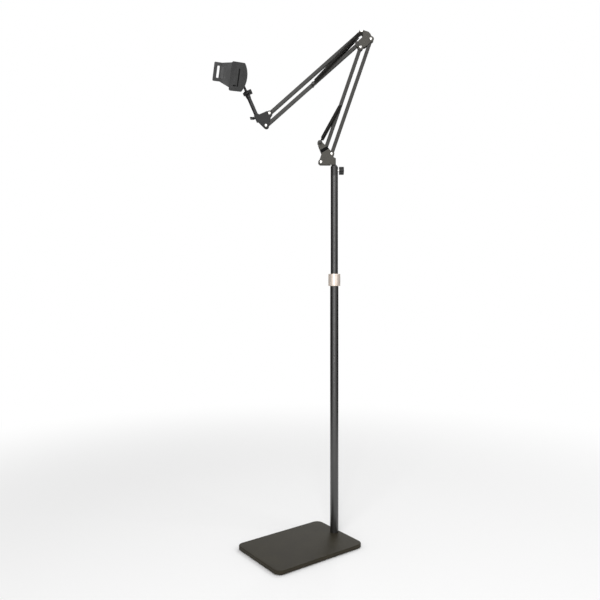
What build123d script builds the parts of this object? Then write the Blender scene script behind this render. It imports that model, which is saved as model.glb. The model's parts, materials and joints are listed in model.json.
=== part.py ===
from build123d import *
from math import asin, atan2, cos, degrees, dist, hypot, pi, radians, sin, sqrt
import os

# Adjustable floor stand for a tablet or phone: a weighted base plate, a telescopic pole,
# a two-section spring-balanced arm and a clamp on a ball joint.
# Millimetres. The origin is the centre of the base's underside, +Z is up and the pole
# stands near the +X edge of the base.

os.makedirs("parts", exist_ok=True)

# Fits shared by several pieces
running_gap = 0.05
seat_gap = 0.02
loose_gap = 0.3
overrun = 2.0

# Base
base_length = 298.0
base_width = 210.0
base_thickness = 10.0
base_corner = 20.0
base_middle_x = -4.0
base_middle_y = -7.0
base_edge_round = 1.5
pad_thickness = 3.0
pad_inset = 5.0
pole_inset = 16.5

# Pole
lower_tube_radius = 12.5
lower_tube_wall = 1.2
lower_tube_shown = 737.0
tube_in_collar = 24.0
upper_tube_radius = 11.0
upper_tube_wall = 1.2
upper_tube_shown = 294.0
upper_tube_hidden = 210.0
collar_height = 36.0
collar_radius = 18.0
head_sleeve = 27.5
head_taper = 3.5
head_mouth_radius = 8.2

# Arm: the plane that it lies in, its two sections and the pivots at their ends
arm_swivel = 36.5
arm_tube_side = 11.0
arm_tube_wall = 1.0
arm_tube_corner = 1.4
lower_arm_length = 363.0
lower_arm_angle = 71.0
upper_arm_length = 367.0
upper_arm_angle = 221.6
bracket_pitch = 40.0
bracket_pitch_angle = 37.5
elbow_pitch = 38.0
elbow_pitch_angle = 254.6
plate_gap = 12.2
plate_thickness = 1.8
pivot_radius = 2.5
bush_radius = 3.6
head_radius = 4.6
head_height = 2.8
nut_across = 8.0
nut_height = 4.5

# Clamp and its ball joint
rod_radius = 5.0
rod_angle = 113.6
rod_reach = 71.0
neck_length = 45.0
neck_lean = 30.0
ball_radius = 8.0
clamp_yaw = 47.0
clamp_pitch = -7.4
clamp_roll = -23.0
clamp_width = 88.0
clamp_height = 80.0
clamp_height_far = 53.5
jaw_depth = 22.0

# Heights and places that follow from the sizes above
base_top = pad_thickness + base_thickness
pole_x = base_middle_x + base_length / 2 - pole_inset
collar_bottom = base_top + lower_tube_shown
collar_top = collar_bottom + collar_height
lower_tube_top = collar_bottom + tube_in_collar
head_bottom = collar_top + upper_tube_shown
head_top = head_bottom + head_sleeve + head_taper

# The arm's own plane: x is to the right along the arm, y is up, z is towards the viewer
arm_plane = Plane(
    origin=(pole_x, 0, 0),
    x_dir=(cos(radians(arm_swivel)), -sin(radians(arm_swivel)), 0),
    z_dir=(-sin(radians(arm_swivel)), -cos(radians(arm_swivel)), 0),
)
plate_inner = plate_gap / 2
plate_outer = plate_inner + plate_thickness


def arm_direction(right, up, near=0.0):
    return arm_plane.x_dir * right + arm_plane.y_dir * up + arm_plane.z_dir * near


def arm_point(right, up, near=0.0):
    return arm_plane.origin + arm_direction(right, up, near)


def along(start, length, angle):
    return (start[0] + length * cos(radians(angle)), start[1] + length * sin(radians(angle)))


def shared_points(start, size, shares):
    return [(start[0] + size * right, start[1] + size * up) for right, up in shares]


# Base plate: painted steel with a counterbored hole for the bolt that holds the pole. The pole
# stands a little behind the plate's middle line, as the photo shows.
foot_bolt_radius = 4.0
foot_bolt_head_radius = 6.5
foot_bolt_head_height = 4.5
foot_bolt_length = 22.0
foot_insert_length = 25.0
foot_recess_radius = 8.0
foot_recess_depth = 5.0

with BuildPart() as base_plate:
    with BuildSketch(Plane.XY.offset(pad_thickness)):
        with Locations((base_middle_x, base_middle_y)):
            RectangleRounded(base_length, base_width, base_corner)
    extrude(amount=base_thickness)
    fillet(base_plate.faces().sort_by(Axis.Z)[-1].edges(), radius=base_edge_round)
    with Locations(Plane(origin=(pole_x, 0, pad_thickness), x_dir=(1, 0, 0), z_dir=(0, 0, -1))):
        CounterBoreHole(
            radius=foot_bolt_radius + loose_gap,
            counter_bore_radius=foot_recess_radius,
            counter_bore_depth=foot_recess_depth,
            depth=base_thickness,
        )
base_plate.part.label = "base_plate"
export_step(base_plate.part, "parts/base_plate.step")

# Foam sheet under the plate, open below the bolt
with BuildPart() as base_pad:
    with BuildSketch(Plane.XY):
        with Locations((base_middle_x, base_middle_y)):
            RectangleRounded(
                base_length - 2 * pad_inset, base_width - 2 * pad_inset, base_corner - pad_inset
            )
        with Locations((pole_x, 0)):
            Circle(foot_recess_radius, mode=Mode.SUBTRACT)
    extrude(amount=pad_thickness)
base_pad.part.label = "base_pad"
export_step(base_pad.part, "parts/base_pad.step")

# Bolt from below
foot_bolt_seat = pad_thickness + foot_recess_depth

with BuildPart() as foot_bolt:
    with BuildSketch(Plane.XY.offset(foot_bolt_seat - foot_bolt_head_height)):
        with Locations((pole_x, 0)):
            Circle(foot_bolt_head_radius)
    extrude(amount=foot_bolt_head_height)
    with BuildSketch(Plane.XY.offset(foot_bolt_seat)):
        with Locations((pole_x, 0)):
            Circle(foot_bolt_radius)
    extrude(amount=foot_bolt_length)
foot_bolt.part.label = "foot_bolt"
export_step(foot_bolt.part, "parts/foot_bolt.step")


# Pieces turned about the pole are revolved from a half section of radius and height
pole_axis = Axis((pole_x, 0, 0), (0, 0, 1))


def pole_section(points):
    with BuildSketch(Plane(origin=(pole_x, 0, 0), x_dir=(1, 0, 0), z_dir=(0, -1, 0))) as section:
        with BuildLine():
            Polyline(points, close=True)
        make_face()
    return section.sketch


lower_tube_bore = lower_tube_radius - lower_tube_wall
foot_insert_radius = lower_tube_bore - seat_gap
with BuildPart() as foot_insert:
    revolve(
        pole_section(
            [
                (foot_bolt_radius + seat_gap, base_top),
                (foot_insert_radius, base_top),
                (foot_insert_radius, base_top + foot_insert_length),
                (foot_bolt_radius + seat_gap, base_top + foot_insert_length),
            ]
        ),
        axis=pole_axis,
    )
foot_insert.part.label = "foot_insert"
export_step(foot_insert.part, "parts/foot_insert.step")

with BuildPart() as lower_tube:
    revolve(
        pole_section(
            [
                (lower_tube_bore, base_top),
                (lower_tube_radius, base_top),
                (lower_tube_radius, lower_tube_top),
                (lower_tube_bore, lower_tube_top),
            ]
        ),
        axis=pole_axis,
    )
lower_tube.part.label = "lower_tube"
export_step(lower_tube.part, "parts/lower_tube.step")

# Collet: a slit plastic bush on the top of the lower tube that grips the upper tube
collet_wall = 2.1
collet_lift = 3.3
collet_height = 29.0
collet_taper_height = 7.0
collet_taper = 1.6
collet_slits = 4
collet_slit_width = 1.5
collet_slit_depth = 16.0
collet_bore = upper_tube_radius + running_gap
collet_radius = lower_tube_radius + collet_wall
collet_bottom = collar_bottom + collet_lift
collet_top = collet_bottom + collet_height

with BuildPart() as pole_collet:
    revolve(
        pole_section(
            [
                (lower_tube_radius + seat_gap, collet_bottom),
                (collet_radius, collet_bottom),
                (collet_radius, collet_top - collet_taper_height),
                (collet_radius - collet_taper, collet_top),
                (collet_bore, collet_top),
                (collet_bore, lower_tube_top),
                (lower_tube_radius + seat_gap, lower_tube_top),
            ]
        ),
        axis=pole_axis,
    )
    with BuildSketch(Plane.XY.offset(collet_top)):
        with Locations((pole_x, 0)):
            Rectangle(2 * collar_radius, collet_slit_width)
            Rectangle(collet_slit_width, 2 * collar_radius)
    extrude(amount=-collet_slit_depth / 2, mode=Mode.SUBTRACT)
pole_collet.part.label = "pole_collet"
export_step(pole_collet.part, "parts/pole_collet.step")

# Twist collar: its inner cone presses the collet's fingers on the upper tube
collar_chamfer = 1.0
collar_lip = 3.0
collar_screw_radius = 2.0
collar_screw_length = 2.2
collar_screw_side = 55.0
collar_screw_drop = 8.0
collar_cavity = collet_radius + loose_gap
collar_cone = collet_radius - collet_taper + loose_gap

collar_screw_plane = Plane(
    origin=(pole_x, 0, (collar_bottom + collar_top) / 2 - collar_screw_drop),
    z_dir=arm_direction(sin(radians(collar_screw_side)), 0, cos(radians(collar_screw_side))),
)

with BuildPart() as lock_collar:
    revolve(
        pole_section(
            [
                (lower_tube_radius + loose_gap, collar_bottom),
                (collar_radius - collar_chamfer, collar_bottom),
                (collar_radius, collar_bottom + collar_chamfer),
                (collar_radius, collar_top - collar_chamfer),
                (collar_radius - collar_chamfer, collar_top),
                (upper_tube_radius + loose_gap, collar_top),
                (upper_tube_radius + loose_gap, collet_top + loose_gap),
                (collar_cone, collet_top + loose_gap),
                (collar_cavity, collet_top - collet_taper_height + loose_gap),
                (collar_cavity, collar_bottom + collar_lip),
                (lower_tube_radius + loose_gap, collar_bottom + collar_lip),
            ]
        ),
        axis=pole_axis,
    )
    with BuildSketch(collar_screw_plane.offset(lower_tube_radius + loose_gap)):
        Circle(collar_screw_radius + seat_gap)
    extrude(amount=collar_radius, mode=Mode.SUBTRACT)
lock_collar.part.label = "lock_collar"
export_step(lock_collar.part, "parts/lock_collar.step")

with BuildPart() as collar_screw:
    with BuildSketch(collar_screw_plane.offset(collar_cavity)):
        Circle(collar_screw_radius)
    extrude(amount=collar_screw_length)
collar_screw.part.label = "collar_screw"
export_step(collar_screw.part, "parts/collar_screw.step")

# Upper tube with its guide bush below and its turned head above
guide_flange = 6.0
guide_plug = 14.0
guide_wall = 1.6
head_plug = 30.0
head_bore_depth = 46.0
spigot_radius = 5.0
upper_tube_bore = upper_tube_radius - upper_tube_wall
upper_tube_bottom = collar_top - upper_tube_hidden
guide_radius = lower_tube_bore - running_gap

with BuildPart() as upper_tube:
    revolve(
        pole_section(
            [
                (upper_tube_bore, upper_tube_bottom),
                (upper_tube_radius, upper_tube_bottom),
                (upper_tube_radius, head_bottom),
                (upper_tube_bore, head_bottom),
            ]
        ),
        axis=pole_axis,
    )
upper_tube.part.label = "upper_tube"
export_step(upper_tube.part, "parts/upper_tube.step")

with BuildPart() as guide_bush:
    revolve(
        pole_section(
            [
                (upper_tube_bore - guide_wall, upper_tube_bottom - guide_flange),
                (guide_radius, upper_tube_bottom - guide_flange),
                (guide_radius, upper_tube_bottom),
                (upper_tube_bore - seat_gap, upper_tube_bottom),
                (upper_tube_bore - seat_gap, upper_tube_bottom + guide_plug),
                (upper_tube_bore - guide_wall, upper_tube_bottom + guide_plug),
            ]
        ),
        axis=pole_axis,
    )
guide_bush.part.label = "guide_bush"
export_step(guide_bush.part, "parts/guide_bush.step")

knob_screw_radius = 3.0
knob_screw_drop = 12.0
knob_screw_height = head_top - head_taper - knob_screw_drop
head_screw_plane = Plane(
    origin=arm_point(0, knob_screw_height), x_dir=arm_direction(0, 1), z_dir=arm_direction(1, 0)
)

with BuildPart() as pole_head:
    revolve(
        pole_section(
            [
                (0, head_bottom - head_plug),
                (upper_tube_bore - seat_gap, head_bottom - head_plug),
                (upper_tube_bore - seat_gap, head_bottom),
                (upper_tube_radius, head_bottom),
                (upper_tube_radius, head_top - head_taper),
                (head_mouth_radius, head_top),
                (spigot_radius + running_gap, head_top),
                (spigot_radius + running_gap, head_top - head_bore_depth),
                (0, head_top - head_bore_depth),
            ]
        ),
        axis=pole_axis,
    )
    with BuildSketch(head_screw_plane):
        Circle(knob_screw_radius + running_gap)
    extrude(amount=lower_tube_radius, mode=Mode.SUBTRACT)
pole_head.part.label = "pole_head"
export_step(pole_head.part, "parts/pole_head.step")


# Thumb knobs: a round grip with finger scallops, a neck ring and a bore for its screw
def lobed_knob(plane, radius, thickness, lobes, scallop, bore, round_over):
    with BuildPart() as knob:
        with BuildSketch(plane):
            Circle(radius)
            with PolarLocations(radius + scallop / 2, lobes):
                Circle(scallop, mode=Mode.SUBTRACT)
        extrude(amount=thickness)
        chamfer(knob.faces().sort_by(Axis(plane.origin, plane.z_dir))[-1].edges(), length=round_over)
        with BuildSketch(plane):
            Circle(bore)
        extrude(amount=thickness - 2 * round_over, mode=Mode.SUBTRACT)
    return knob


head_knob_start = 14.4
head_knob_radius = 12.0
head_knob_thickness = 14.0
head_knob_lobes = 6
head_knob_scallop = 3.6
head_knob_round = 1.2
spigot_groove = 0.7

head_screw_start = spigot_radius - spigot_groove + loose_gap
head_screw_end = head_knob_start + head_knob_thickness - 2 * head_knob_round
with BuildPart() as head_screw:
    with BuildSketch(head_screw_plane.offset(head_screw_start)):
        Circle(knob_screw_radius)
    extrude(amount=head_screw_end - head_screw_start)
head_screw.part.label = "head_screw"
export_step(head_screw.part, "parts/head_screw.step")

head_knob = lobed_knob(
    head_screw_plane.offset(head_knob_start),
    head_knob_radius,
    head_knob_thickness,
    head_knob_lobes,
    head_knob_scallop,
    knob_screw_radius + seat_gap,
    head_knob_round,
)
head_knob.part.label = "head_knob"
export_step(head_knob.part, "parts/head_knob.step")

# Bracket at the foot of the arm: one folded sheet, welded to the block of its spigot
swivel_washer_height = 1.5
swivel_washer_radius = 8.0
bracket_floor = head_top + swivel_washer_height
bracket_lug = 8.2
pivot_left_right = -40.1
spring_stud_share = (-0.0775, 1.45)
bracket_shares = [
    (0.0, 0.0),
    (-0.1, 0.205),
    (0.0425, 0.615),
    (-0.2125, 1.26),
    (-0.0775, 1.45),
    (0.02, 1.53),
    (0.47, 1.1275),
    (0.71, 0.865),
    (0.793, 0.609),
    (0.95, 0.355),
    (1.1125, 0.27),
    (1.1125, -0.205),
    (0.0, -0.205),
]
stud_lug = 7.4
bracket_fold = 3.0
bracket_sheet = 160.0

bracket_pivot_left = (pivot_left_right, bracket_floor + bracket_lug)
bracket_pivot_right = along(bracket_pivot_left, bracket_pitch, bracket_pitch_angle)
spring_stud_place = shared_points(bracket_pivot_left, bracket_pitch, [spring_stud_share])[0]
bracket_outline = shared_points(bracket_pivot_left, bracket_pitch, bracket_shares)
spine_right = max(point[0] for point in bracket_outline)


def plate_sketch(plane, outline, lugs, holes):
    with BuildSketch(plane) as flat:
        with BuildLine():
            Polyline(outline, close=True)
        make_face()
        for place, radius in lugs:
            with Locations(place):
                Circle(radius)
        for place in holes:
            with Locations(place):
                Circle(pivot_radius + running_gap, mode=Mode.SUBTRACT)
    return flat.sketch


bracket_lugs = [
    (bracket_pivot_left, bracket_lug),
    (bracket_pivot_right, bracket_lug),
    (spring_stud_place, stud_lug),
]
bracket_holes = [bracket_pivot_left, bracket_pivot_right, spring_stud_place]

bracket_fold_plane = Plane(
    origin=arm_point(spine_right, bracket_floor), x_dir=arm_plane.x_dir, z_dir=(0, 0, 1)
)
with BuildPart() as arm_bracket:
    extrude(
        plate_sketch(arm_plane.offset(-plate_outer), bracket_outline, bracket_lugs, bracket_holes),
        amount=2 * plate_outer,
    )
    with BuildSketch(bracket_fold_plane):
        RectangleRounded(
            bracket_sheet, 2 * plate_outer, bracket_fold, align=(Align.MAX, Align.CENTER)
        )
        with Locations((-plate_thickness, 0)):
            RectangleRounded(
                bracket_sheet,
                plate_gap,
                bracket_fold - plate_thickness,
                align=(Align.MAX, Align.CENTER),
                mode=Mode.SUBTRACT,
            )
    extrude(amount=bracket_sheet, mode=Mode.INTERSECT)
arm_bracket.part.label = "arm_bracket"
export_step(arm_bracket.part, "parts/arm_bracket.step")

# Spigot: a round pin with a grip groove, and the block that fills the fold
spigot_block_width = 14.0
spigot_block_height = 16.0
spigot_length = 42.0
spigot_groove_half = 4.5
groove_height = knob_screw_height
with BuildPart() as arm_spigot:
    with BuildSketch(Plane.XY.offset(bracket_floor - spigot_length)):
        with Locations((pole_x, 0)):
            Circle(spigot_radius)
    extrude(amount=spigot_length)
    with BuildSketch(Plane.XY.offset(groove_height - spigot_groove_half)):
        with Locations((pole_x, 0)):
            Circle(spigot_radius + overrun)
            Circle(spigot_radius - spigot_groove, mode=Mode.SUBTRACT)
    extrude(amount=2 * spigot_groove_half, mode=Mode.SUBTRACT)
    with BuildSketch(arm_plane.offset(-plate_inner)):
        with Locations((spine_right - bracket_fold, bracket_floor)):
            Rectangle(spigot_block_width, spigot_block_height, align=(Align.MAX, Align.MIN))
    extrude(amount=plate_gap)
arm_spigot.part.label = "arm_spigot"
export_step(arm_spigot.part, "parts/arm_spigot.step")

with BuildPart() as swivel_washer:
    revolve(
        pole_section(
            [
                (spigot_radius + running_gap, head_top),
                (swivel_washer_radius, head_top),
                (swivel_washer_radius, bracket_floor),
                (spigot_radius + running_gap, bracket_floor),
            ]
        ),
        axis=pole_axis,
    )
swivel_washer.part.label = "swivel_washer"
export_step(swivel_washer.part, "parts/swivel_washer.step")

# Bare band across the bracket's ear, on the side that faces the viewer
band_centre_share = (0.355, 0.99)
band_width = 9.6
band_angle = 30.0
band_thickness = 0.3
with BuildPart() as bracket_band:
    extrude(
        plate_sketch(arm_plane.offset(plate_outer), bracket_outline, [], []), amount=band_thickness
    )
    with BuildSketch(arm_plane.offset(plate_outer)):
        with Locations(shared_points(bracket_pivot_left, bracket_pitch, [band_centre_share])[0]):
            Rectangle(2 * bracket_pitch, band_width, rotation=band_angle)
    extrude(amount=band_thickness, mode=Mode.INTERSECT)
bracket_band.part.label = "bracket_band"
export_step(bracket_band.part, "parts/bracket_band.step")


# Fasteners of the arm, as groups of equal solids
def pivot_bolts(places, shank_end):
    with BuildPart() as bolts:
        with BuildSketch(arm_plane.offset(-shank_end)):
            with Locations(*places):
                Circle(pivot_radius)
        extrude(amount=shank_end + plate_outer)
        with BuildSketch(arm_plane.offset(plate_outer)):
            with Locations(*places):
                Circle(head_radius)
        extrude(amount=head_height)
    return bolts


def pivot_nuts(places):
    with BuildPart() as nuts:
        with BuildSketch(arm_plane.offset(-plate_outer)):
            with Locations(*places):
                RegularPolygon(nut_across / 2, side_count=6, major_radius=False)
            with Locations(*places):
                Circle(pivot_radius + seat_gap, mode=Mode.SUBTRACT)
        extrude(amount=-nut_height)
    return nuts


bolt_end = plate_outer + nut_height
bracket_bolts = pivot_bolts([bracket_pivot_left, bracket_pivot_right], bolt_end)
bracket_bolts.part.label = "bracket_bolts"
export_step(bracket_bolts.part, "parts/bracket_bolts.step")

bracket_nuts = pivot_nuts([bracket_pivot_left, bracket_pivot_right])
bracket_nuts.part.label = "bracket_nuts"
export_step(bracket_nuts.part, "parts/bracket_nuts.step")

# Spring pins stand out on both sides: the springs' eyes hang on them between plate and head
spring_offset = 13.5
spring_wire_radius = 0.9
groove_gap = 0.2
pin_head_radius = 4.4
pin_head_height = 2.0
pin_head_start = spring_offset + spring_wire_radius + groove_gap


def spring_pin(place, shank_start):
    with BuildPart() as pin:
        for side in (1, -1):
            with BuildSketch(arm_plane.offset(side * shank_start)):
                with Locations(place):
                    Circle(pivot_radius)
            extrude(amount=side * (pin_head_start - shank_start))
            with BuildSketch(arm_plane.offset(side * pin_head_start)):
                with Locations(place):
                    Circle(pin_head_radius)
            extrude(amount=side * pin_head_height)
    return pin


spring_studs = spring_pin(spring_stud_place, plate_inner)
spring_studs.part.label = "spring_studs"
export_step(spring_studs.part, "parts/spring_studs.step")

# Arm tubes: square, with pressed round ends, holes for their bushes and a hole for a pin
tube_half = arm_tube_side / 2


def arm_tube(start, finish, angle, pin_places):
    middle = ((start[0] + finish[0]) / 2, (start[1] + finish[1]) / 2)
    length = hypot(finish[0] - start[0], finish[1] - start[1])
    tube_plane = Plane(
        origin=arm_point(*middle),
        x_dir=arm_direction(0, 0, 1),
        z_dir=arm_direction(cos(radians(angle)), sin(radians(angle))),
    )
    with BuildPart() as tube:
        with BuildSketch(tube_plane):
            RectangleRounded(arm_tube_side, arm_tube_side, arm_tube_corner)
        extrude(amount=length / 2 + arm_tube_side, both=True)
        with BuildSketch(arm_plane.offset(-arm_tube_side)):
            with Locations(middle):
                SlotCenterToCenter(length, arm_tube_side, rotation=angle)
        extrude(amount=2 * arm_tube_side, mode=Mode.INTERSECT)
        bore_side = arm_tube_side - 2 * arm_tube_wall
        with BuildSketch(arm_plane.offset(-bore_side / 2)):
            with Locations(middle):
                Rectangle(length + 2 * arm_tube_side, bore_side, rotation=angle)
        extrude(amount=bore_side, mode=Mode.SUBTRACT)
        with BuildSketch(arm_plane.offset(-tube_half)):
            with Locations(start, finish):
                Circle(bush_radius + seat_gap)
        extrude(amount=arm_tube_side, mode=Mode.SUBTRACT)
        if pin_places:
            with BuildSketch(arm_plane.offset(-tube_half)):
                with Locations(*pin_places):
                    Circle(pivot_radius + seat_gap)
            extrude(amount=arm_tube_side, mode=Mode.SUBTRACT)
    return tube


def arm_bushes(places):
    with BuildPart() as bushes:
        with BuildSketch(arm_plane.offset(-plate_inner)):
            with Locations(*places):
                Circle(bush_radius)
                Circle(pivot_radius + running_gap, mode=Mode.SUBTRACT)
        extrude(amount=plate_gap)
    return bushes


# Lower section of the arm
lower_pin_distance = 180.3
elbow_low_left = along(bracket_pivot_left, lower_arm_length, lower_arm_angle)
elbow_low_right = along(bracket_pivot_right, lower_arm_length, lower_arm_angle)
lower_pin_place = along(bracket_pivot_left, lower_pin_distance, lower_arm_angle)

lower_arm_left = arm_tube(bracket_pivot_left, elbow_low_left, lower_arm_angle, [lower_pin_place])
lower_arm_left.part.label = "lower_arm_left"
export_step(lower_arm_left.part, "parts/lower_arm_left.step")

lower_left_bushes = arm_bushes([bracket_pivot_left, elbow_low_left])
lower_left_bushes.part.label = "lower_left_bushes"
export_step(lower_left_bushes.part, "parts/lower_left_bushes.step")

lower_arm_right = arm_tube(bracket_pivot_right, elbow_low_right, lower_arm_angle, [])
lower_arm_right.part.label = "lower_arm_right"
export_step(lower_arm_right.part, "parts/lower_arm_right.step")

lower_right_bushes = arm_bushes([bracket_pivot_right, elbow_low_right])
lower_right_bushes.part.label = "lower_right_bushes"
export_step(lower_right_bushes.part, "parts/lower_right_bushes.step")

lower_anchor_pin = spring_pin(lower_pin_place, 0)
lower_anchor_pin.part.label = "lower_anchor_pin"
export_step(lower_anchor_pin.part, "parts/lower_anchor_pin.step")

# Elbow plates
elbow_top_share = (0.054, 1.152)
elbow_shares = [
    (0.054, 1.152),
    (0.11, 1.305),
    (0.6125, 1.135),
    (0.71, 1.0275),
    (0.8925, 0.7025),
    (0.793, 0.609),
    (0.7675, 0.3775),
    (0.3475, 0.015),
    (0.0, 0.0),
    (-0.198, 0.236),
    (-0.1475, 0.5),
    (0.1975, 0.8025),
    (0.135, 0.99),
]
elbow_lug = 8.3
elbow_top_lug = 6.4
elbow_top = shared_points(elbow_low_left, bracket_pitch, [elbow_top_share])[0]
elbow_bottom = along(elbow_top, elbow_pitch, elbow_pitch_angle)
elbow_outline = shared_points(elbow_low_left, bracket_pitch, elbow_shares)
elbow_lugs = [
    (elbow_top, elbow_top_lug),
    (elbow_bottom, elbow_lug),
    (elbow_low_left, elbow_lug),
    (elbow_low_right, elbow_lug),
]
elbow_holes = [elbow_top, elbow_bottom, elbow_low_left, elbow_low_right]


def side_plate(start, outline, lugs, holes):
    with BuildPart() as plate:
        extrude(plate_sketch(arm_plane.offset(start), outline, lugs, holes), amount=plate_thickness)
    return plate


for name, start in (("elbow_plate_near", plate_inner), ("elbow_plate_far", -plate_outer)):
    elbow_plate = side_plate(start, elbow_outline, elbow_lugs, elbow_holes)
    elbow_plate.part.label = name
    export_step(elbow_plate.part, f"parts/{name}.step")

elbow_bolts = pivot_bolts([elbow_low_left, elbow_low_right], bolt_end)
elbow_bolts.part.label = "elbow_bolts"
export_step(elbow_bolts.part, "parts/elbow_bolts.step")

elbow_nuts = pivot_nuts([elbow_low_left, elbow_low_right])
elbow_nuts.part.label = "elbow_nuts"
export_step(elbow_nuts.part, "parts/elbow_nuts.step")

# Rivet of the hidden elbow pivot, with a flat head on each side
rivet_head = 1.2
with BuildPart() as elbow_rivet:
    with BuildSketch(arm_plane.offset(-plate_outer)):
        with Locations(elbow_bottom):
            Circle(pivot_radius)
    extrude(amount=2 * plate_outer)
    for side in (1, -1):
        with BuildSketch(arm_plane.offset(side * plate_outer)):
            with Locations(elbow_bottom):
                Circle(head_radius)
        extrude(amount=side * rivet_head)
elbow_rivet.part.label = "elbow_rivet"
export_step(elbow_rivet.part, "parts/elbow_rivet.step")

elbow_spring_bolt = spring_pin(elbow_top, 0)
elbow_spring_bolt.part.label = "elbow_spring_bolt"
export_step(elbow_spring_bolt.part, "parts/elbow_spring_bolt.step")

# Upper section of the arm
upper_pin_distance = 180.0
wrist_top = along(elbow_top, upper_arm_length, upper_arm_angle)
wrist_bottom = along(elbow_bottom, upper_arm_length, upper_arm_angle)
upper_pin_place = along(elbow_bottom, upper_pin_distance, upper_arm_angle)

upper_arm_top = arm_tube(wrist_top, elbow_top, upper_arm_angle, [])
upper_arm_top.part.label = "upper_arm_top"
export_step(upper_arm_top.part, "parts/upper_arm_top.step")

upper_top_bushes = arm_bushes([wrist_top, elbow_top])
upper_top_bushes.part.label = "upper_top_bushes"
export_step(upper_top_bushes.part, "parts/upper_top_bushes.step")

upper_arm_bottom = arm_tube(wrist_bottom, elbow_bottom, upper_arm_angle, [upper_pin_place])
upper_arm_bottom.part.label = "upper_arm_bottom"
export_step(upper_arm_bottom.part, "parts/upper_arm_bottom.step")

upper_bottom_bushes = arm_bushes([wrist_bottom, elbow_bottom])
upper_bottom_bushes.part.label = "upper_bottom_bushes"
export_step(upper_bottom_bushes.part, "parts/upper_bottom_bushes.step")

upper_anchor_pin = spring_pin(upper_pin_place, 0)
upper_anchor_pin.part.label = "upper_anchor_pin"
export_step(upper_anchor_pin.part, "parts/upper_anchor_pin.step")

# Balance springs: an eye, the coils and a second eye in one unbroken wire
coil_radius = 4.1
eye_radius = 3.7
coil_start = 9.0
wire_sides = 4
eye_first_angle = 40.0
eye_quarters = 3
upper_coils = 9
lower_coils = 6
gap_samples = 24


def spring_nodes(span, coils):
    # Places along the wire and the direction that it runs in there, in the spring's frame
    nodes = []
    for quarter in range(eye_quarters + 1):
        angle = radians(eye_first_angle + 90 * quarter)
        nodes.append(
            (Vector(eye_radius * cos(angle), eye_radius * sin(angle), 0), Vector(-sin(angle), cos(angle), 0))
        )
    pitch = (span - 2 * coil_start) / coils
    for half_turn in range(2 * coils + 1):
        angle = pi * half_turn
        place = Vector(coil_start + pitch * half_turn / 2, coil_radius * cos(angle), coil_radius * sin(angle))
        heading = Vector(pitch / (2 * pi), -coil_radius * sin(angle), coil_radius * cos(angle))
        nodes.append((place, heading.normalized()))
    for quarter in range(eye_quarters + 1):
        angle = radians(180 - eye_first_angle - 90 * (eye_quarters - quarter))
        nodes.append(
            (
                Vector(span + eye_radius * cos(angle), eye_radius * sin(angle), 0),
                Vector(-sin(angle), cos(angle), 0),
            )
        )
    return nodes


def arc_joint(start, heading, finish, final_heading):
    # Where two arcs meet that leave start and reach finish in the given directions
    reach = finish - start
    turn = heading + final_heading
    bend = 2 * (1 - heading.dot(final_heading))
    arm = (-reach.dot(turn) + sqrt(reach.dot(turn) ** 2 + bend * reach.dot(reach))) / bend
    return (start + finish + (heading - final_heading) * arm) / 2


def helix_gap(span, coils):
    # Least distance between the wire of one coil and the next, measured on points
    pitch = (span - 2 * coil_start) / coils
    points = []
    for sample in range(coils * gap_samples):
        angle = 2 * pi * sample / gap_samples
        points.append((pitch * angle / (2 * pi), coil_radius * cos(angle), coil_radius * sin(angle)))
    least = span
    for first in range(len(points)):
        for second in range(first + gap_samples // 2, len(points)):
            least = min(least, dist(points[first], points[second]))
    return least - 2 * spring_wire_radius


def balance_spring(start, finish, near, coils):
    span = hypot(finish[0] - start[0], finish[1] - start[1])
    right, up = (finish[0] - start[0]) / span, (finish[1] - start[1]) / span
    frame = Plane(
        origin=arm_point(*start, near), x_dir=arm_direction(right, up), z_dir=arm_direction(0, 0, 1)
    )
    nodes = [
        (frame.from_local_coords(place), frame.from_local_coords(heading) - frame.origin)
        for place, heading in spring_nodes(span, coils)
    ]
    with BuildPart() as spring:
        with BuildLine() as wire:
            for (place, heading), (following, final_heading) in zip(nodes, nodes[1:]):
                joint = arc_joint(place, heading, following, final_heading)
                first = TangentArc(place, joint, tangent=heading)
                TangentArc(joint, following, tangent=first % 1)
        with BuildSketch(Plane(origin=nodes[0][0], z_dir=nodes[0][1])):
            RegularPolygon(spring_wire_radius, side_count=wire_sides)
        sweep(path=wire.wires()[0], clean=False)
    print("least gap between coils", round(helix_gap(span, coils), 2))
    return spring


spring_places = (
    ("lower_spring", spring_stud_place, lower_pin_place, lower_coils),
    ("upper_spring", elbow_top, upper_pin_place, upper_coils),
)
for name, start, finish, coils in spring_places:
    for side, near in (("near", spring_offset), ("far", -spring_offset)):
        spring = balance_spring(start, finish, near, coils)
        spring.part.label = f"{name}_{side}"
        export_step(spring.part, f"parts/{name}_{side}.step")

# Bracket at the outer end of the arm, with the socket block of the clamp's rod
wrist_shares = [
    (0.0, 0.0),
    (-0.19, 0.174),
    (-0.813, -0.092),
    (-1.14, -0.11),
    (-1.1, -0.434),
    (-0.45, -1.079),
    (-0.2656, -0.964),
    (-0.03, -0.916),
    (0.095, -0.213),
]
rod_foot_share = (-1.045, -0.095)
wrist_lug = 8.0
wrist_outline = shared_points(wrist_top, elbow_pitch, wrist_shares)
wrist_lugs = [(wrist_top, wrist_lug), (wrist_bottom, wrist_lug)]
rod_foot = shared_points(wrist_top, elbow_pitch, [rod_foot_share])[0]

for name, start in (("wrist_plate_near", plate_inner), ("wrist_plate_far", -plate_outer)):
    wrist_plate = side_plate(start, wrist_outline, wrist_lugs, [wrist_top, wrist_bottom])
    wrist_plate.part.label = name
    export_step(wrist_plate.part, f"parts/{name}.step")

wrist_bolts = pivot_bolts([wrist_top, wrist_bottom], bolt_end)
wrist_bolts.part.label = "wrist_bolts"
export_step(wrist_bolts.part, "parts/wrist_bolts.step")

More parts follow.
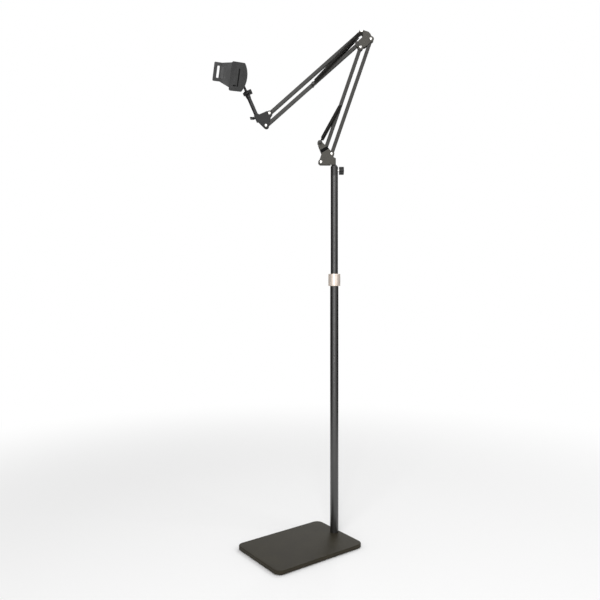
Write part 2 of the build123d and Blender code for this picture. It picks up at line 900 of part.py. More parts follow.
wrist_nuts = pivot_nuts([wrist_top, wrist_bottom])
wrist_nuts.part.label = "wrist_nuts"
export_step(wrist_nuts.part, "parts/wrist_nuts.step")

socket_depth = 21.0
socket_width = 15.0
shank_radius = 4.0
shank_length = 18.0
wing_screw_radius = 2.8
rod_plane = Plane(
    origin=arm_point(*rod_foot),
    x_dir=arm_direction(sin(radians(rod_angle)), -cos(radians(rod_angle))),
    z_dir=arm_direction(cos(radians(rod_angle)), sin(radians(rod_angle))),
)
wing_origin = along(rod_foot, -shank_length * 3 / 5, rod_angle)
wing_plane = Plane(
    origin=arm_point(*wing_origin), x_dir=arm_direction(0, 0, 1), z_dir=arm_direction(-1, 0)
)
with BuildPart() as wrist_socket:
    with BuildSketch(rod_plane):
        Rectangle(socket_width, plate_gap)
        Circle(shank_radius + running_gap, mode=Mode.SUBTRACT)
    extrude(amount=-socket_depth)
    with BuildSketch(wing_plane):
        Circle(wing_screw_radius + running_gap)
    extrude(amount=socket_width, mode=Mode.SUBTRACT)
wrist_socket.part.label = "wrist_socket"
export_step(wrist_socket.part, "parts/wrist_socket.step")

# Wing screw that clamps the rod's shank: a hub and two swept wings
wing_hub_radius = 4.2
wing_reach = 23.2
wing_span = 22.0
wing_root = 10.0
wing_thickness = 3.2
wing_round = 1.0
wing_tilt = radians(rod_angle - 90)
wing_screw_start = (shank_radius + wing_screw_radius * sin(wing_tilt) + loose_gap) / cos(wing_tilt)
wing_hub_start = (socket_width / 2 + wing_hub_radius * sin(wing_tilt) + loose_gap) / cos(wing_tilt)
with BuildPart() as wing_screw:
    with BuildSketch(wing_plane.offset(wing_screw_start)):
        Circle(wing_screw_radius)
    extrude(amount=wing_hub_start + wing_round - wing_screw_start)
    with BuildSketch(wing_plane.offset(wing_hub_start)):
        Circle(wing_hub_radius)
    extrude(amount=(wing_reach - wing_hub_start) / 2)
    with BuildSketch(Plane(origin=wing_plane.origin, x_dir=wing_plane.x_dir, z_dir=wing_plane.y_dir)):
        with BuildLine():
            Polyline(
                (-wing_root / 2, -wing_hub_start - wing_round),
                (wing_root / 2, -wing_hub_start - wing_round),
                (wing_span / 2, -wing_reach + wing_hub_radius),
                (wing_span / 3, -wing_reach),
                (0, -wing_reach + wing_hub_radius),
                (-wing_span / 3, -wing_reach),
                (-wing_span / 2, -wing_reach + wing_hub_radius),
                close=True,
            )
        make_face()
    extrude(amount=wing_thickness / 2, both=True)
wing_screw.part.label = "wing_screw"
export_step(wing_screw.part, "parts/wing_screw.step")

# Rod with a reduced shank below and a threaded stub that carries the fork
fork_base_radius = 7.0
fork_base_height = 7.0
fork_ear = 3.6
fork_gap = 7.8
fork_round = 7.5
stub_radius = 3.0
stub_length = 5.0
fork_clearance = 8.5
knuckle_place = along(rod_foot, rod_reach, rod_angle)
fork_base_start = rod_reach - fork_clearance - fork_base_height
with BuildPart() as clamp_rod:
    with BuildSketch(rod_plane):
        Circle(shank_radius)
    extrude(amount=-shank_length)
    with BuildSketch(rod_plane):
        Circle(rod_radius)
    extrude(amount=fork_base_start)
    with BuildSketch(rod_plane.offset(fork_base_start)):
        Circle(stub_radius)
    extrude(amount=stub_length)
clamp_rod.part.label = "clamp_rod"
export_step(clamp_rod.part, "parts/clamp_rod.step")

# Fork: two round ears on a turned base; the hinge line lies across the rod
hinge_plane = Plane(
    origin=arm_point(*knuckle_place), x_dir=rod_plane.z_dir, z_dir=rod_plane.x_dir
)
fork_half = fork_gap / 2 + fork_ear
hinge_pin_radius = 2.5
with BuildPart() as rod_fork:
    with BuildSketch(rod_plane.offset(fork_base_start)):
        Circle(fork_base_radius)
    extrude(amount=fork_base_height)
    with BuildSketch(hinge_plane.offset(-fork_half)):
        Circle(fork_round)
        Rectangle(fork_clearance + seat_gap, 2 * fork_round, align=(Align.MAX, Align.CENTER))
    extrude(amount=2 * fork_half)
    with BuildSketch(hinge_plane.offset(-fork_gap / 2)):
        Rectangle(fork_clearance, 4 * fork_round, align=(Align.MAX, Align.CENTER))
        Rectangle(2 * fork_round, 4 * fork_round, align=(Align.MIN, Align.CENTER))
    extrude(amount=fork_gap, mode=Mode.SUBTRACT)
    with BuildSketch(hinge_plane.offset(-fork_half)):
        Circle(hinge_pin_radius + running_gap)
    extrude(amount=2 * fork_half, mode=Mode.SUBTRACT)
    with BuildSketch(rod_plane.offset(fork_base_start)):
        Circle(stub_radius + seat_gap)
    extrude(amount=stub_length, mode=Mode.SUBTRACT)
rod_fork.part.label = "rod_fork"
export_step(rod_fork.part, "parts/rod_fork.step")

# Hinge bolt with its knob on the right and its round nut cap on the left
cap_radius = 5.2
cap_height = 4.0
knuckle_knob_gap = 0.4
knuckle_knob_radius = 7.4
knuckle_knob_thickness = 8.0
knuckle_knob_lobes = 5
knuckle_knob_scallop = 2.6
knuckle_knob_round = 0.8
knuckle_knob_start = fork_half + knuckle_knob_gap
with BuildPart() as hinge_bolt:
    with BuildSketch(hinge_plane.offset(-fork_half - cap_height)):
        Circle(cap_radius)
    extrude(amount=cap_height)
    chamfer(hinge_bolt.faces().sort_by(Axis(hinge_plane.origin, hinge_plane.z_dir))[0].edges(),
            length=cap_height / 4)
    with BuildSketch(hinge_plane.offset(-fork_half)):
        Circle(hinge_pin_radius)
    extrude(amount=fork_half + knuckle_knob_start + knuckle_knob_thickness - 2 * knuckle_knob_round)
hinge_bolt.part.label = "hinge_bolt"
export_step(hinge_bolt.part, "parts/hinge_bolt.step")

hinge_knob = lobed_knob(
    hinge_plane.offset(knuckle_knob_start),
    knuckle_knob_radius,
    knuckle_knob_thickness,
    knuckle_knob_lobes,
    knuckle_knob_scallop,
    hinge_pin_radius + seat_gap,
    knuckle_knob_round,
)
hinge_knob.part.label = "hinge_knob"
export_step(hinge_knob.part, "parts/hinge_knob.step")

# Ball stem: the eye in the fork, a tapered neck and the ball
eye_thickness = fork_gap - 2 * running_gap
stem_eye_radius = 7.0
neck_foot_radius = 4.2
neck_top_radius = 3.0
lean = radians(neck_lean)
neck_direction = rod_plane.z_dir * cos(lean) + arm_direction(0, 0, 1) * sin(lean)
ball_centre = arm_point(*knuckle_place) + neck_direction * neck_length
neck_plane = Plane(origin=arm_point(*knuckle_place), x_dir=rod_plane.x_dir, z_dir=neck_direction)
with BuildPart() as ball_stem:
    with BuildSketch(hinge_plane.offset(-eye_thickness / 2)):
        Circle(stem_eye_radius)
    extrude(amount=eye_thickness)
    with BuildSketch(neck_plane.offset(stem_eye_radius / 2)):
        Circle(eye_thickness / 2)
    with BuildSketch(neck_plane.offset(neck_length - ball_radius / 2)):
        Circle(neck_top_radius)
    loft()
    with BuildSketch(Plane(origin=ball_centre, x_dir=rod_plane.x_dir, z_dir=hinge_plane.y_dir)):
        with BuildLine():
            CenterArc((0, 0), ball_radius, -90, 180)
            Line((0, ball_radius), (0, -ball_radius))
        make_face()
    revolve(axis=Axis(ball_centre, neck_plane.x_dir.cross(hinge_plane.y_dir)))
    with BuildSketch(hinge_plane.offset(-fork_half)):
        Circle(hinge_pin_radius + running_gap)
    extrude(amount=2 * fork_half, mode=Mode.SUBTRACT)
ball_stem.part.label = "ball_stem"
export_step(ball_stem.part, "parts/ball_stem.step")

# The clamp's own frame: x across from the sliding jaw to the fixed jaw, y up, z to the user
yaw, pitch = radians(clamp_yaw), radians(clamp_pitch)
facing = Vector(-sin(yaw) * cos(pitch), sin(pitch), cos(yaw) * cos(pitch))
upright = (Vector(0, 1, 0) - facing * facing.Y).normalized()
across = upright.cross(facing)
roll = radians(clamp_roll)
rolled = across * cos(roll) + upright * sin(roll)
level_clamp_plane = Plane(
    origin=ball_centre,
    x_dir=arm_direction(rolled.X, rolled.Y, rolled.Z),
    z_dir=arm_direction(facing.X, facing.Y, facing.Z),
)
ball_depth = 48.0
ball_drop = 8.0
clamp_centre = ball_centre + level_clamp_plane.z_dir * ball_depth + level_clamp_plane.y_dir * ball_drop
clamp_plane = Plane(
    origin=clamp_centre, x_dir=level_clamp_plane.x_dir, z_dir=level_clamp_plane.z_dir
)
clamp_side = Plane(
    origin=clamp_centre, x_dir=clamp_plane.y_dir, z_dir=clamp_plane.x_dir
)
facing_axis = Axis(clamp_centre, clamp_plane.z_dir)
across_axis = Axis(clamp_centre, clamp_plane.x_dir)

# Housing: lofted from the deep end by the fixed jaw to the flat end by the sliding jaw
jaw_thickness = 4.0
cover_thickness = 3.0
side_depth = 18.0
crown_depth = 38.0
crown_shoulder = 23.0
crown_depth_far = 22.0
tongue_width = 34.0
tongue_thickness = 5.0
tongue_start = 4.5
tongue_length = 72.5
slide_gap = 0.2
jaw_spring_radius = 2.8
jaw_spring_wall = 1.0
jaw_spring_side = 8.0
jaw_spring_length = 56.0
spring_groove = 7.0
housing_round = 2.5
housing_wall = 3.0
near_end = clamp_width / 2
far_end = -clamp_width / 2 + jaw_thickness


def housing_section(plane, height, shoulder, crown):
    with BuildSketch(plane) as section:
        with BuildLine():
            Polyline(
                (-height / 2, -shoulder),
                (-height / 2, -cover_thickness),
                (height / 2, -cover_thickness),
                (height / 2, -shoulder),
            )
            ThreePointArc((height / 2, -shoulder), (0, -crown), (-height / 2, -shoulder))
        make_face()
    return section.sketch


cover_screw_shares = [(0.3, 0.33), (0.3, -0.33), (-0.3, 0.26), (-0.3, -0.26)]
cover_screw_places = [(clamp_width * right, clamp_height * up) for right, up in cover_screw_shares]
cover_screw_radius = 1.4
cover_screw_head = 2.6
cover_screw_head_height = 2.0
cover_screw_reach = 2.0
cover_screw_length = 9.0
screw_head_depth = cover_thickness + cover_screw_length - cover_screw_reach

with BuildPart() as clamp_housing:
    loft(
        [
            housing_section(clamp_side.offset(near_end), clamp_height, crown_shoulder, crown_depth),
            housing_section(clamp_side.offset(far_end), clamp_height_far, side_depth, crown_depth_far),
        ]
    )
    near_face = clamp_housing.faces().sort_by(across_axis)[-1]
    fillet(near_face.edges().filter_by(GeomType.CIRCLE), radius=housing_round)
    with BuildSketch(clamp_side.offset(near_end - jaw_thickness)):
        Rectangle(2 * clamp_height, 2 * side_depth)
    extrude(amount=2 * jaw_thickness, mode=Mode.SUBTRACT)
    with BuildSketch(clamp_plane.offset(-cover_thickness)):
        with Locations((near_end - jaw_thickness - housing_wall, 0)):
            Rectangle(2 * clamp_width, tongue_width + 2 * slide_gap, align=(Align.MAX, Align.CENTER))
    extrude(amount=cover_thickness - tongue_start - tongue_thickness - slide_gap, mode=Mode.SUBTRACT)
    with BuildSketch(clamp_plane.offset(-tongue_start)):
        with Locations((near_end - jaw_thickness - housing_wall, jaw_spring_side),
                       (near_end - jaw_thickness - housing_wall, -jaw_spring_side)):
            Rectangle(2 * clamp_width, spring_groove, align=(Align.MAX, Align.CENTER))
    extrude(amount=-tongue_thickness - spring_groove, mode=Mode.SUBTRACT)
    with BuildSketch(clamp_plane.offset(-cover_thickness)):
        with Locations(*cover_screw_places):
            Circle(cover_screw_radius + seat_gap)
    extrude(amount=-screw_head_depth, mode=Mode.SUBTRACT)
    with BuildSketch(clamp_plane.offset(-screw_head_depth)):
        with Locations(*cover_screw_places):
            Circle(cover_screw_head + seat_gap)
    extrude(amount=-crown_depth, mode=Mode.SUBTRACT)
clamp_housing.part.label = "clamp_housing"
export_step(clamp_housing.part, "parts/clamp_housing.step")

with BuildPart() as cover_screws:
    with BuildSketch(clamp_plane.offset(-cover_thickness + cover_screw_reach)):
        with Locations(*cover_screw_places):
            Circle(cover_screw_radius)
    extrude(amount=-cover_screw_length)
    with BuildSketch(clamp_plane.offset(-screw_head_depth)):
        with Locations(*cover_screw_places):
            Circle(cover_screw_head)
    extrude(amount=-cover_screw_head_height)
cover_screws.part.label = "cover_screws"
export_step(cover_screws.part, "parts/cover_screws.step")

# Front plate: tapers with the housing and closes the channel of the sliding jaw
front_round = 0.8
with BuildPart() as front_plate:
    with BuildSketch(clamp_plane.offset(-cover_thickness)):
        with BuildLine():
            Polyline(
                (far_end, -clamp_height_far / 2),
                (near_end - jaw_thickness, -clamp_height / 2),
                (near_end - jaw_thickness, clamp_height / 2),
                (far_end, clamp_height_far / 2),
                close=True,
            )
        make_face()
    extrude(amount=cover_thickness)
    front_face = front_plate.faces().sort_by(facing_axis)[-1]
    chamfer(front_face.edges(), length=front_round)
    with BuildSketch(clamp_plane.offset(-cover_thickness)):
        with Locations(*cover_screw_places):
            Circle(cover_screw_radius + seat_gap)
    extrude(amount=cover_screw_reach, mode=Mode.SUBTRACT)
front_plate.part.label = "front_plate"
export_step(front_plate.part, "parts/front_plate.step")

front_pad_length = 15.0
front_pad_width = 33.0
front_pad_thickness = 1.2
front_pad_inset = 2.0
with BuildPart() as front_pad:
    with BuildSketch(clamp_plane):
        with Locations((far_end + front_pad_inset, 0)):
            Rectangle(front_pad_length, front_pad_width, align=(Align.MIN, Align.CENTER))
    extrude(amount=front_pad_thickness)
    chamfer(front_pad.faces().sort_by(facing_axis)[-1].edges(),
            length=front_pad_thickness / 3)
front_pad.part.label = "front_pad"
export_step(front_pad.part, "parts/front_pad.step")

# Fixed jaw: a flat side wall with a slot near its back edge and a small recess low down
jaw_corner = 5.0
slot_length = 50.0
slot_width = 4.4
slot_height_off = -2.0
slot_depth_off = 5.0
recess_length = 12.0
recess_width = 4.0
recess_drop = 25.0
recess_off = -6.0
recess_depth = 1.5
slot_depth = 3.0
with BuildPart() as fixed_jaw:
    with BuildSketch(clamp_side.offset(near_end - jaw_thickness)):
        with BuildLine():
            Polyline(
                (-clamp_height / 2, -side_depth),
                (clamp_height / 2, -side_depth),
                (clamp_height / 2, jaw_depth),
                (-clamp_height / 2, jaw_depth),
                close=True,
            )
        make_face()
    extrude(amount=jaw_thickness)
    lip_corners = fixed_jaw.edges().filter_by(across_axis).sort_by(facing_axis)
    fillet(lip_corners[-2:], radius=jaw_corner)
    with BuildSketch(clamp_side.offset(near_end)):
        with Locations((slot_height_off, -slot_depth_off)):
            SlotOverall(slot_length, slot_width)
    extrude(amount=-slot_depth, mode=Mode.SUBTRACT)
    with BuildSketch(clamp_side.offset(near_end)):
        with Locations((-recess_drop, -recess_off)):
            SlotOverall(recess_length, recess_width, rotation=90)
    extrude(amount=-recess_depth, mode=Mode.SUBTRACT)
fixed_jaw.part.label = "fixed_jaw"
export_step(fixed_jaw.part, "parts/fixed_jaw.step")

# Sliding jaw: a hoop with a window, and the tongue that runs in the housing
hoop_back = 12.0
window_length = 34.0
window_start = 1.5
window_depth = 11.0
post_radius = 1.3
post_length = 5.0
post_inset = 7.5
tongue_end = far_end + tongue_length
with BuildPart() as sliding_jaw:
    with BuildSketch(clamp_side.offset(far_end - jaw_thickness)):
        with BuildLine():
            Polyline(
                (-clamp_height_far / 2, -hoop_back),
                (clamp_height_far / 2, -hoop_back),
                (clamp_height_far / 2, jaw_depth),
                (-clamp_height_far / 2, jaw_depth),
                close=True,
            )
        make_face()
    extrude(amount=jaw_thickness)
    hoop_corners = sliding_jaw.edges().filter_by(across_axis)
    fillet(hoop_corners, radius=jaw_corner * 3 / 5)
    with BuildSketch(clamp_side.offset(far_end - jaw_thickness)):
        with Locations((0, window_start + window_depth / 2)):
            RectangleRounded(window_length, window_depth, window_depth / 5)
    extrude(amount=jaw_thickness, mode=Mode.SUBTRACT)
    with BuildSketch(clamp_plane.offset(-tongue_start)):
        with Locations((far_end, 0)):
            Rectangle(tongue_length, tongue_width, align=(Align.MIN, Align.CENTER))
    extrude(amount=-tongue_thickness)
    with BuildSketch(clamp_plane.offset(-tongue_start - tongue_thickness)):
        with Locations((far_end + post_inset, jaw_spring_side), (far_end + post_inset, -jaw_spring_side)):
            Circle(post_radius)
    extrude(amount=-post_length)
sliding_jaw.part.label = "sliding_jaw"
export_step(sliding_jaw.part, "parts/sliding_jaw.step")

# Two closed-wound springs under the tongue that pull the jaws together
jaw_spring_axis_depth = tongue_start + tongue_thickness + spring_groove / 2
with BuildPart() as jaw_springs:
    with BuildSketch(clamp_side.offset(far_end + post_inset + post_radius + seat_gap)):
        with Locations((jaw_spring_side, -jaw_spring_axis_depth), (-jaw_spring_side, -jaw_spring_axis_depth)):
            Circle(jaw_spring_radius)
            Circle(jaw_spring_radius - jaw_spring_wall, mode=Mode.SUBTRACT)
    extrude(amount=jaw_spring_length)
jaw_springs.part.label = "jaw_springs"
export_step(jaw_springs.part, "parts/jaw_springs.step")

# Ball socket on the housing's back: a pedestal and a cup whose mouth points down and back
cup_radius = 11.5
cup_back = 10.0
cup_mouth = 1.0
pedestal_radius = 13.0
pedestal_length = 40.0
ball_gap = running_gap
mouth_direction = (clamp_plane.z_dir + clamp_plane.y_dir) * -1
socket_plane = Plane(origin=ball_centre, x_dir=clamp_plane.x_dir, z_dir=mouth_direction)
socket_axis = Axis(ball_centre, socket_plane.z_dir)
ball_cutter = Pos(*ball_centre) * Sphere(ball_radius + ball_gap)
with BuildPart() as ball_socket:
    with BuildSketch(socket_plane.offset(-cup_back)):
        Circle(cup_radius)
    extrude(amount=cup_back + cup_mouth)
    with BuildSketch(socket_plane.offset(-cup_back)):
        Circle(cup_radius)
    with BuildSketch(socket_plane.offset(-pedestal_length)):
        Circle(pedestal_radius)
    loft()
    with BuildSketch(socket_plane):
        Circle(ball_radius + ball_gap)
    extrude(amount=cup_mouth, mode=Mode.SUBTRACT)
    add(ball_cutter, mode=Mode.SUBTRACT)
    add(clamp_housing.part, mode=Mode.SUBTRACT)
    with BuildSketch(clamp_plane.offset(-tongue_start - tongue_thickness - spring_groove - housing_wall)):
        Rectangle(2 * clamp_width, 2 * clamp_height)
    extrude(amount=crown_depth, mode=Mode.SUBTRACT)
ball_socket.part.label = "ball_socket"
print("ball socket solids", len(ball_socket.solids()))
export_step(ball_socket.part, "parts/ball_socket.step")

# Ring nut that holds the ball in the cup
ring_radius = 14.5
ring_length = 10.5
ring_back = 4.0
ring_mouth_radius = 6.7
ring_scallops = 8
ring_scallop = 2.0
ring_end = ring_length - ring_back
with BuildPart() as socket_ring:
    with BuildSketch(socket_plane.offset(-ring_back)):
        Circle(ring_radius)
        with PolarLocations(ring_radius + ring_scallop / 2, ring_scallops):
            Circle(ring_scallop, mode=Mode.SUBTRACT)
    extrude(amount=ring_length)
    with BuildSketch(socket_plane.offset(-ring_back)):
        Circle(cup_radius + loose_gap)
    extrude(amount=ring_back + cup_mouth + running_gap, mode=Mode.SUBTRACT)
    with BuildSketch(socket_plane):
        Circle(ring_mouth_radius)
    extrude(amount=ring_length, mode=Mode.SUBTRACT)
    with BuildSketch(socket_plane.offset(ring_end / 2)):
        Circle(ring_mouth_radius)
    with BuildSketch(socket_plane.offset(ring_end)):
        Circle(ring_mouth_radius + ring_end / 2)
    loft(mode=Mode.SUBTRACT)
    add(ball_cutter, mode=Mode.SUBTRACT)
socket_ring.part.label = "socket_ring"
export_step(socket_ring.part, "parts/socket_ring.step")
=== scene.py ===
import bpy
import bmesh
import json
import math
from mathutils import Matrix, Vector


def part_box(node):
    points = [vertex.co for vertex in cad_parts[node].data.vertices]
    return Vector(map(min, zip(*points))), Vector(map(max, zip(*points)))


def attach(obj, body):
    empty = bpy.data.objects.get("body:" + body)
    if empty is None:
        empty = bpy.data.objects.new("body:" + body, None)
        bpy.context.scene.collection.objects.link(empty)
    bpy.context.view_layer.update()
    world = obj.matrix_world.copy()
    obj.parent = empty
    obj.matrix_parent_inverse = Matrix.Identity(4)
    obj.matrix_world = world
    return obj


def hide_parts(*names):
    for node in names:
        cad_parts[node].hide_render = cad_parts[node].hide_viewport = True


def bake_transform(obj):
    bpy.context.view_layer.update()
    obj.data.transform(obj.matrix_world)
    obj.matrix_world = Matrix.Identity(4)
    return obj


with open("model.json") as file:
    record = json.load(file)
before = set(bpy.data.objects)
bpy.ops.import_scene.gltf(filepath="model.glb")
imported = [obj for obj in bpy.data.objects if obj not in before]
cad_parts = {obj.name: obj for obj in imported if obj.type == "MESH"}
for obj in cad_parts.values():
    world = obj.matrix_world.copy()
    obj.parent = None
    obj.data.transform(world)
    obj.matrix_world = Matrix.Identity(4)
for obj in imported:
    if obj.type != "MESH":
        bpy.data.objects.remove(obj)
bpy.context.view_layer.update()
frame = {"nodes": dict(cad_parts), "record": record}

bodyOf = {}
for bodyName, nodeNames in frame["record"]["behaviour"]["bodies"].items():
    for nodeName in nodeNames:
        bodyOf[nodeName] = bodyName
jointOf = {joint["name"]: joint for joint in frame["record"]["behaviour"]["joints"]}

poleCentre = Vector(jointOf["arm_swivel"]["pos_m"]).xy.to_3d()
towardViewer = Vector(jointOf["lower_arm_pitch"]["axis"]).normalized()  # the pivots' own direction
upward = Vector((0, 0, 1))
alongArm = upward.cross(towardViewer)  # to the right as the photo shows the arm


def mm(value):
    return value / 1000


def hexToLinear(code):
    # sRGB hex to the linear colour that a shader wants
    channels = [int(code[place : place + 2], 16) / 255 for place in (1, 3, 5)]
    return [c / 12.92 if c <= 0.04045 else ((c + 0.055) / 1.055) ** 2.4 for c in channels] + [1.0]


def addNode(tree, kind, settings=None, links=None):
    # one node with its settings and links
    node = tree.nodes.new(kind)
    for name, value in (settings or {}).items():
        if isinstance(name, str) and hasattr(node, name):
            setattr(node, name, value)
        else:
            node.inputs[name].default_value = value
    for name, source in (links or {}).items():
        tree.links.new(source, node.inputs[name])
    return node


def emptyTree(owner):
    # the node tree of a material or a world, with nothing in it yet
    owner.use_nodes = True
    owner.node_tree.nodes.clear()
    return owner.node_tree


cloudRange = (0.3, 0.7)  # where the noise goes over from a finish's shade to its colour


def makeFinish(name, finish):
    # a shader with a faint cloudy tint, an uneven sheen and a fine relief, all sized in millimetres
    material = bpy.data.materials.new(name)
    tree = emptyTree(material)
    place = addNode(tree, "ShaderNodeTexCoord").outputs["Object"]
    cloud = addNode(tree, "ShaderNodeTexNoise",
                    {"Scale": 1 / mm(finish["cloudSize"]), "Detail": 4.0, "Roughness": 0.6},
                    {"Vector": place})
    tint = addNode(tree, "ShaderNodeValToRGB", links={"Fac": cloud.outputs["Fac"]})
    for end, tone in enumerate(("shade", "colour")):
        tint.color_ramp.elements[end].position = cloudRange[end]
        tint.color_ramp.elements[end].color = hexToLinear(finish[tone])
    grain = addNode(tree, "ShaderNodeTexNoise",
                    {"Scale": 1 / mm(finish["grainSize"]), "Detail": 3.0}, {"Vector": place})
    sheen = addNode(tree, "ShaderNodeMapRange",
                    {"To Min": finish["roughness"] - finish["roughnessSpread"],
                     "To Max": finish["roughness"] + finish["roughnessSpread"]},
                    {"Value": grain.outputs["Fac"]})
    relief = addNode(tree, "ShaderNodeBump",
                     {"Strength": finish["reliefStrength"], "Distance": mm(finish["reliefDepth"])},
                     {"Height": grain.outputs["Fac"]})
    shader = addNode(tree, "ShaderNodeBsdfPrincipled",
                     {"Metallic": finish.get("metallic", 0.0),
                      "Specular IOR Level": finish.get("specular", 0.5),
                      "Coat Weight": finish.get("coat", 0.0),
                      "Coat Roughness": finish.get("coatRoughness", 0.1)},
                     {"Base Color": tint.outputs["Color"], "Roughness": sheen.outputs["Result"],
                      "Normal": relief.outputs["Normal"]})
    addNode(tree, "ShaderNodeOutputMaterial", links={"Surface": shader.outputs["BSDF"]})
    return material


finishes = {
    # powder coat on steel plate: satin, dark grey-brown, with a fine orange-peel relief
    "powderCoatedPlate": dict(
        colour="#343025", shade="#2e2a21", cloudSize=60, grainSize=1.2, roughness=0.5,
        roughnessSpread=0.07, reliefStrength=0.3, reliefDepth=0.1, specular=0.15),
    # closed-cell foam, die cut: matt black with small open pores
    "closedCellFoam": dict(
        colour="#1c1c1b", shade="#121212", cloudSize=8, grainSize=0.8, roughness=0.92,
        roughnessSpread=0.05, reliefStrength=0.6, reliefDepth=0.3, specular=0.2),
    # stoved enamel on drawn tube: near black, smooth enough for a long soft highlight
    "stovedEnamel": dict(
        colour="#262524", shade="#1f1e1d", cloudSize=90, grainSize=2.0, roughness=0.3,
        roughnessSpread=0.04, reliefStrength=0.1, reliefDepth=0.04, specular=0.85, coat=0.25,
        coatRoughness=0.25),
    # black paint on a turned piece: satin, a little greyer than the tubes
    "paintedTurning": dict(
        colour="#242322", shade="#1e1d1c", cloudSize=20, grainSize=1.0, roughness=0.36,
        roughnessSpread=0.05, reliefStrength=0.2, reliefDepth=0.05, specular=0.6),
    # electroplated warm satin nickel: pale cream metal with soft reflections
    "satinNickelCollar": dict(
        colour="#f3e6da", shade="#ecdccf", cloudSize=12, grainSize=0.5, roughness=0.24,
        roughnessSpread=0.04, reliefStrength=0.1, reliefDepth=0.03, metallic=0.45),
    # moulded ABS knob: black with a sparked, slightly rough skin
    "mouldedAbsBlack": dict(
        colour="#1b1b1b", shade="#151515", cloudSize=15, grainSize=0.6, roughness=0.48,
        roughnessSpread=0.08, reliefStrength=0.4, reliefDepth=0.08, specular=0.35),
    # acetal bush: dull dark grey, waxy
    "acetalBush": dict(
        colour="#232323", shade="#1c1c1c", cloudSize=10, grainSize=0.5, roughness=0.55,
        roughnessSpread=0.04, reliefStrength=0.1, reliefDepth=0.03, specular=0.35),
    # sprayed satin grey paint on square tube: even dark grey with a fine sprayed texture
    "sprayedGreyTube": dict(
        colour="#31302d", shade="#2a2926", cloudSize=45, grainSize=1.0, roughness=0.42,
        roughnessSpread=0.05, reliefStrength=0.15, reliefDepth=0.05, specular=0.3),
    # the same paint on pressed sheet: warmer, with a slightly smoother face
    "sprayedWarmSheet": dict(
        colour="#3d3a33", shade="#36342e", cloudSize=30, grainSize=1.0, roughness=0.42,
        roughnessSpread=0.05, reliefStrength=0.15, reliefDepth=0.05, specular=0.35),
    # black paint on the wrist's sheet and socket: the same sprayed finish, darker
    "sprayedBlackSheet": dict(
        colour="#1d1d1d", shade="#191918", cloudSize=30, grainSize=1.0, roughness=0.42,
        roughnessSpread=0.05, reliefStrength=0.15, reliefDepth=0.05, specular=0.2),
    # bare film without any print: flat black
    "bareBlackFilm": dict(
        colour="#0d0d0d", shade="#090909", cloudSize=10, grainSize=0.8, roughness=0.55,
        roughnessSpread=0.03, reliefStrength=0.05, reliefDepth=0.02, specular=0.05),
    # bright nickel plate on steel screws: pale, sharp reflections
    "nickelPlate": dict(
        colour="#e6e4e0", shade="#d8d5d0", cloudSize=4, grainSize=0.4, roughness=0.2,
        roughnessSpread=0.04, reliefStrength=0.05, reliefDepth=0.01, metallic=1.0),
    # black oxide on steel: almost black metal with a soft oily sheen
    "blackOxideSteel": dict(
        colour="#3b3a39", shade="#2f2e2d", cloudSize=5, grainSize=0.4, roughness=0.38,
        roughnessSpread=0.06, reliefStrength=0.1, reliefDepth=0.02, metallic=0.9),
    # oiled hard-drawn spring wire: dark, with a thin bright line on each coil
    "hardDrawnWire": dict(
        colour="#34322f", shade="#262524", cloudSize=6, grainSize=0.5, roughness=0.34,
        roughnessSpread=0.05, reliefStrength=0.1, reliefDepth=0.02, metallic=0.8),
    # turned bright steel: mid grey metal with a fine machined sheen
    "turnedSteel": dict(
        colour="#b9b7b3", shade="#a5a39f", cloudSize=8, grainSize=0.4, roughness=0.28,
        roughnessSpread=0.05, reliefStrength=0.1, reliefDepth=0.02, metallic=1.0),
    # near-black paint on the clamp's rod: satin
    "paintedRod": dict(
        colour="#282727", shade="#222121", cloudSize=15, grainSize=0.8, roughness=0.36,
        roughnessSpread=0.05, reliefStrength=0.15, reliefDepth=0.04, specular=0.3),
    # moulded ABS clamp: charcoal with an eroded texture that scatters the light
    "mouldedAbsCharcoal": dict(
        colour="#464646", shade="#3d3d3d", cloudSize=25, grainSize=0.7, roughness=0.5,
        roughnessSpread=0.08, reliefStrength=0.35, reliefDepth=0.06, specular=0.3),
    # the same moulding on the clamp's face and sliding jaw, with a finer texture and painted paler:
    # a lit copy of the charcoal, painted light
    "mouldedAbsPaintedLight": dict(
        colour="#5a5a5a", shade="#505050", cloudSize=25, grainSize=0.5, roughness=0.48,
        roughnessSpread=0.08, reliefStrength=0.25, reliefDepth=0.04, specular=0.3),
    # soft rubber pad: matt mid grey, paler than the clamp around it
    "softRubber": dict(
        colour="#646464", shade="#565656", cloudSize=9, grainSize=0.6, roughness=0.8,
        roughnessSpread=0.06, reliefStrength=0.4, reliefDepth=0.1, specular=0.2),
}
materials = {name: makeFinish(name, finish) for name, finish in finishes.items()}
print("finishes made:", len(materials))

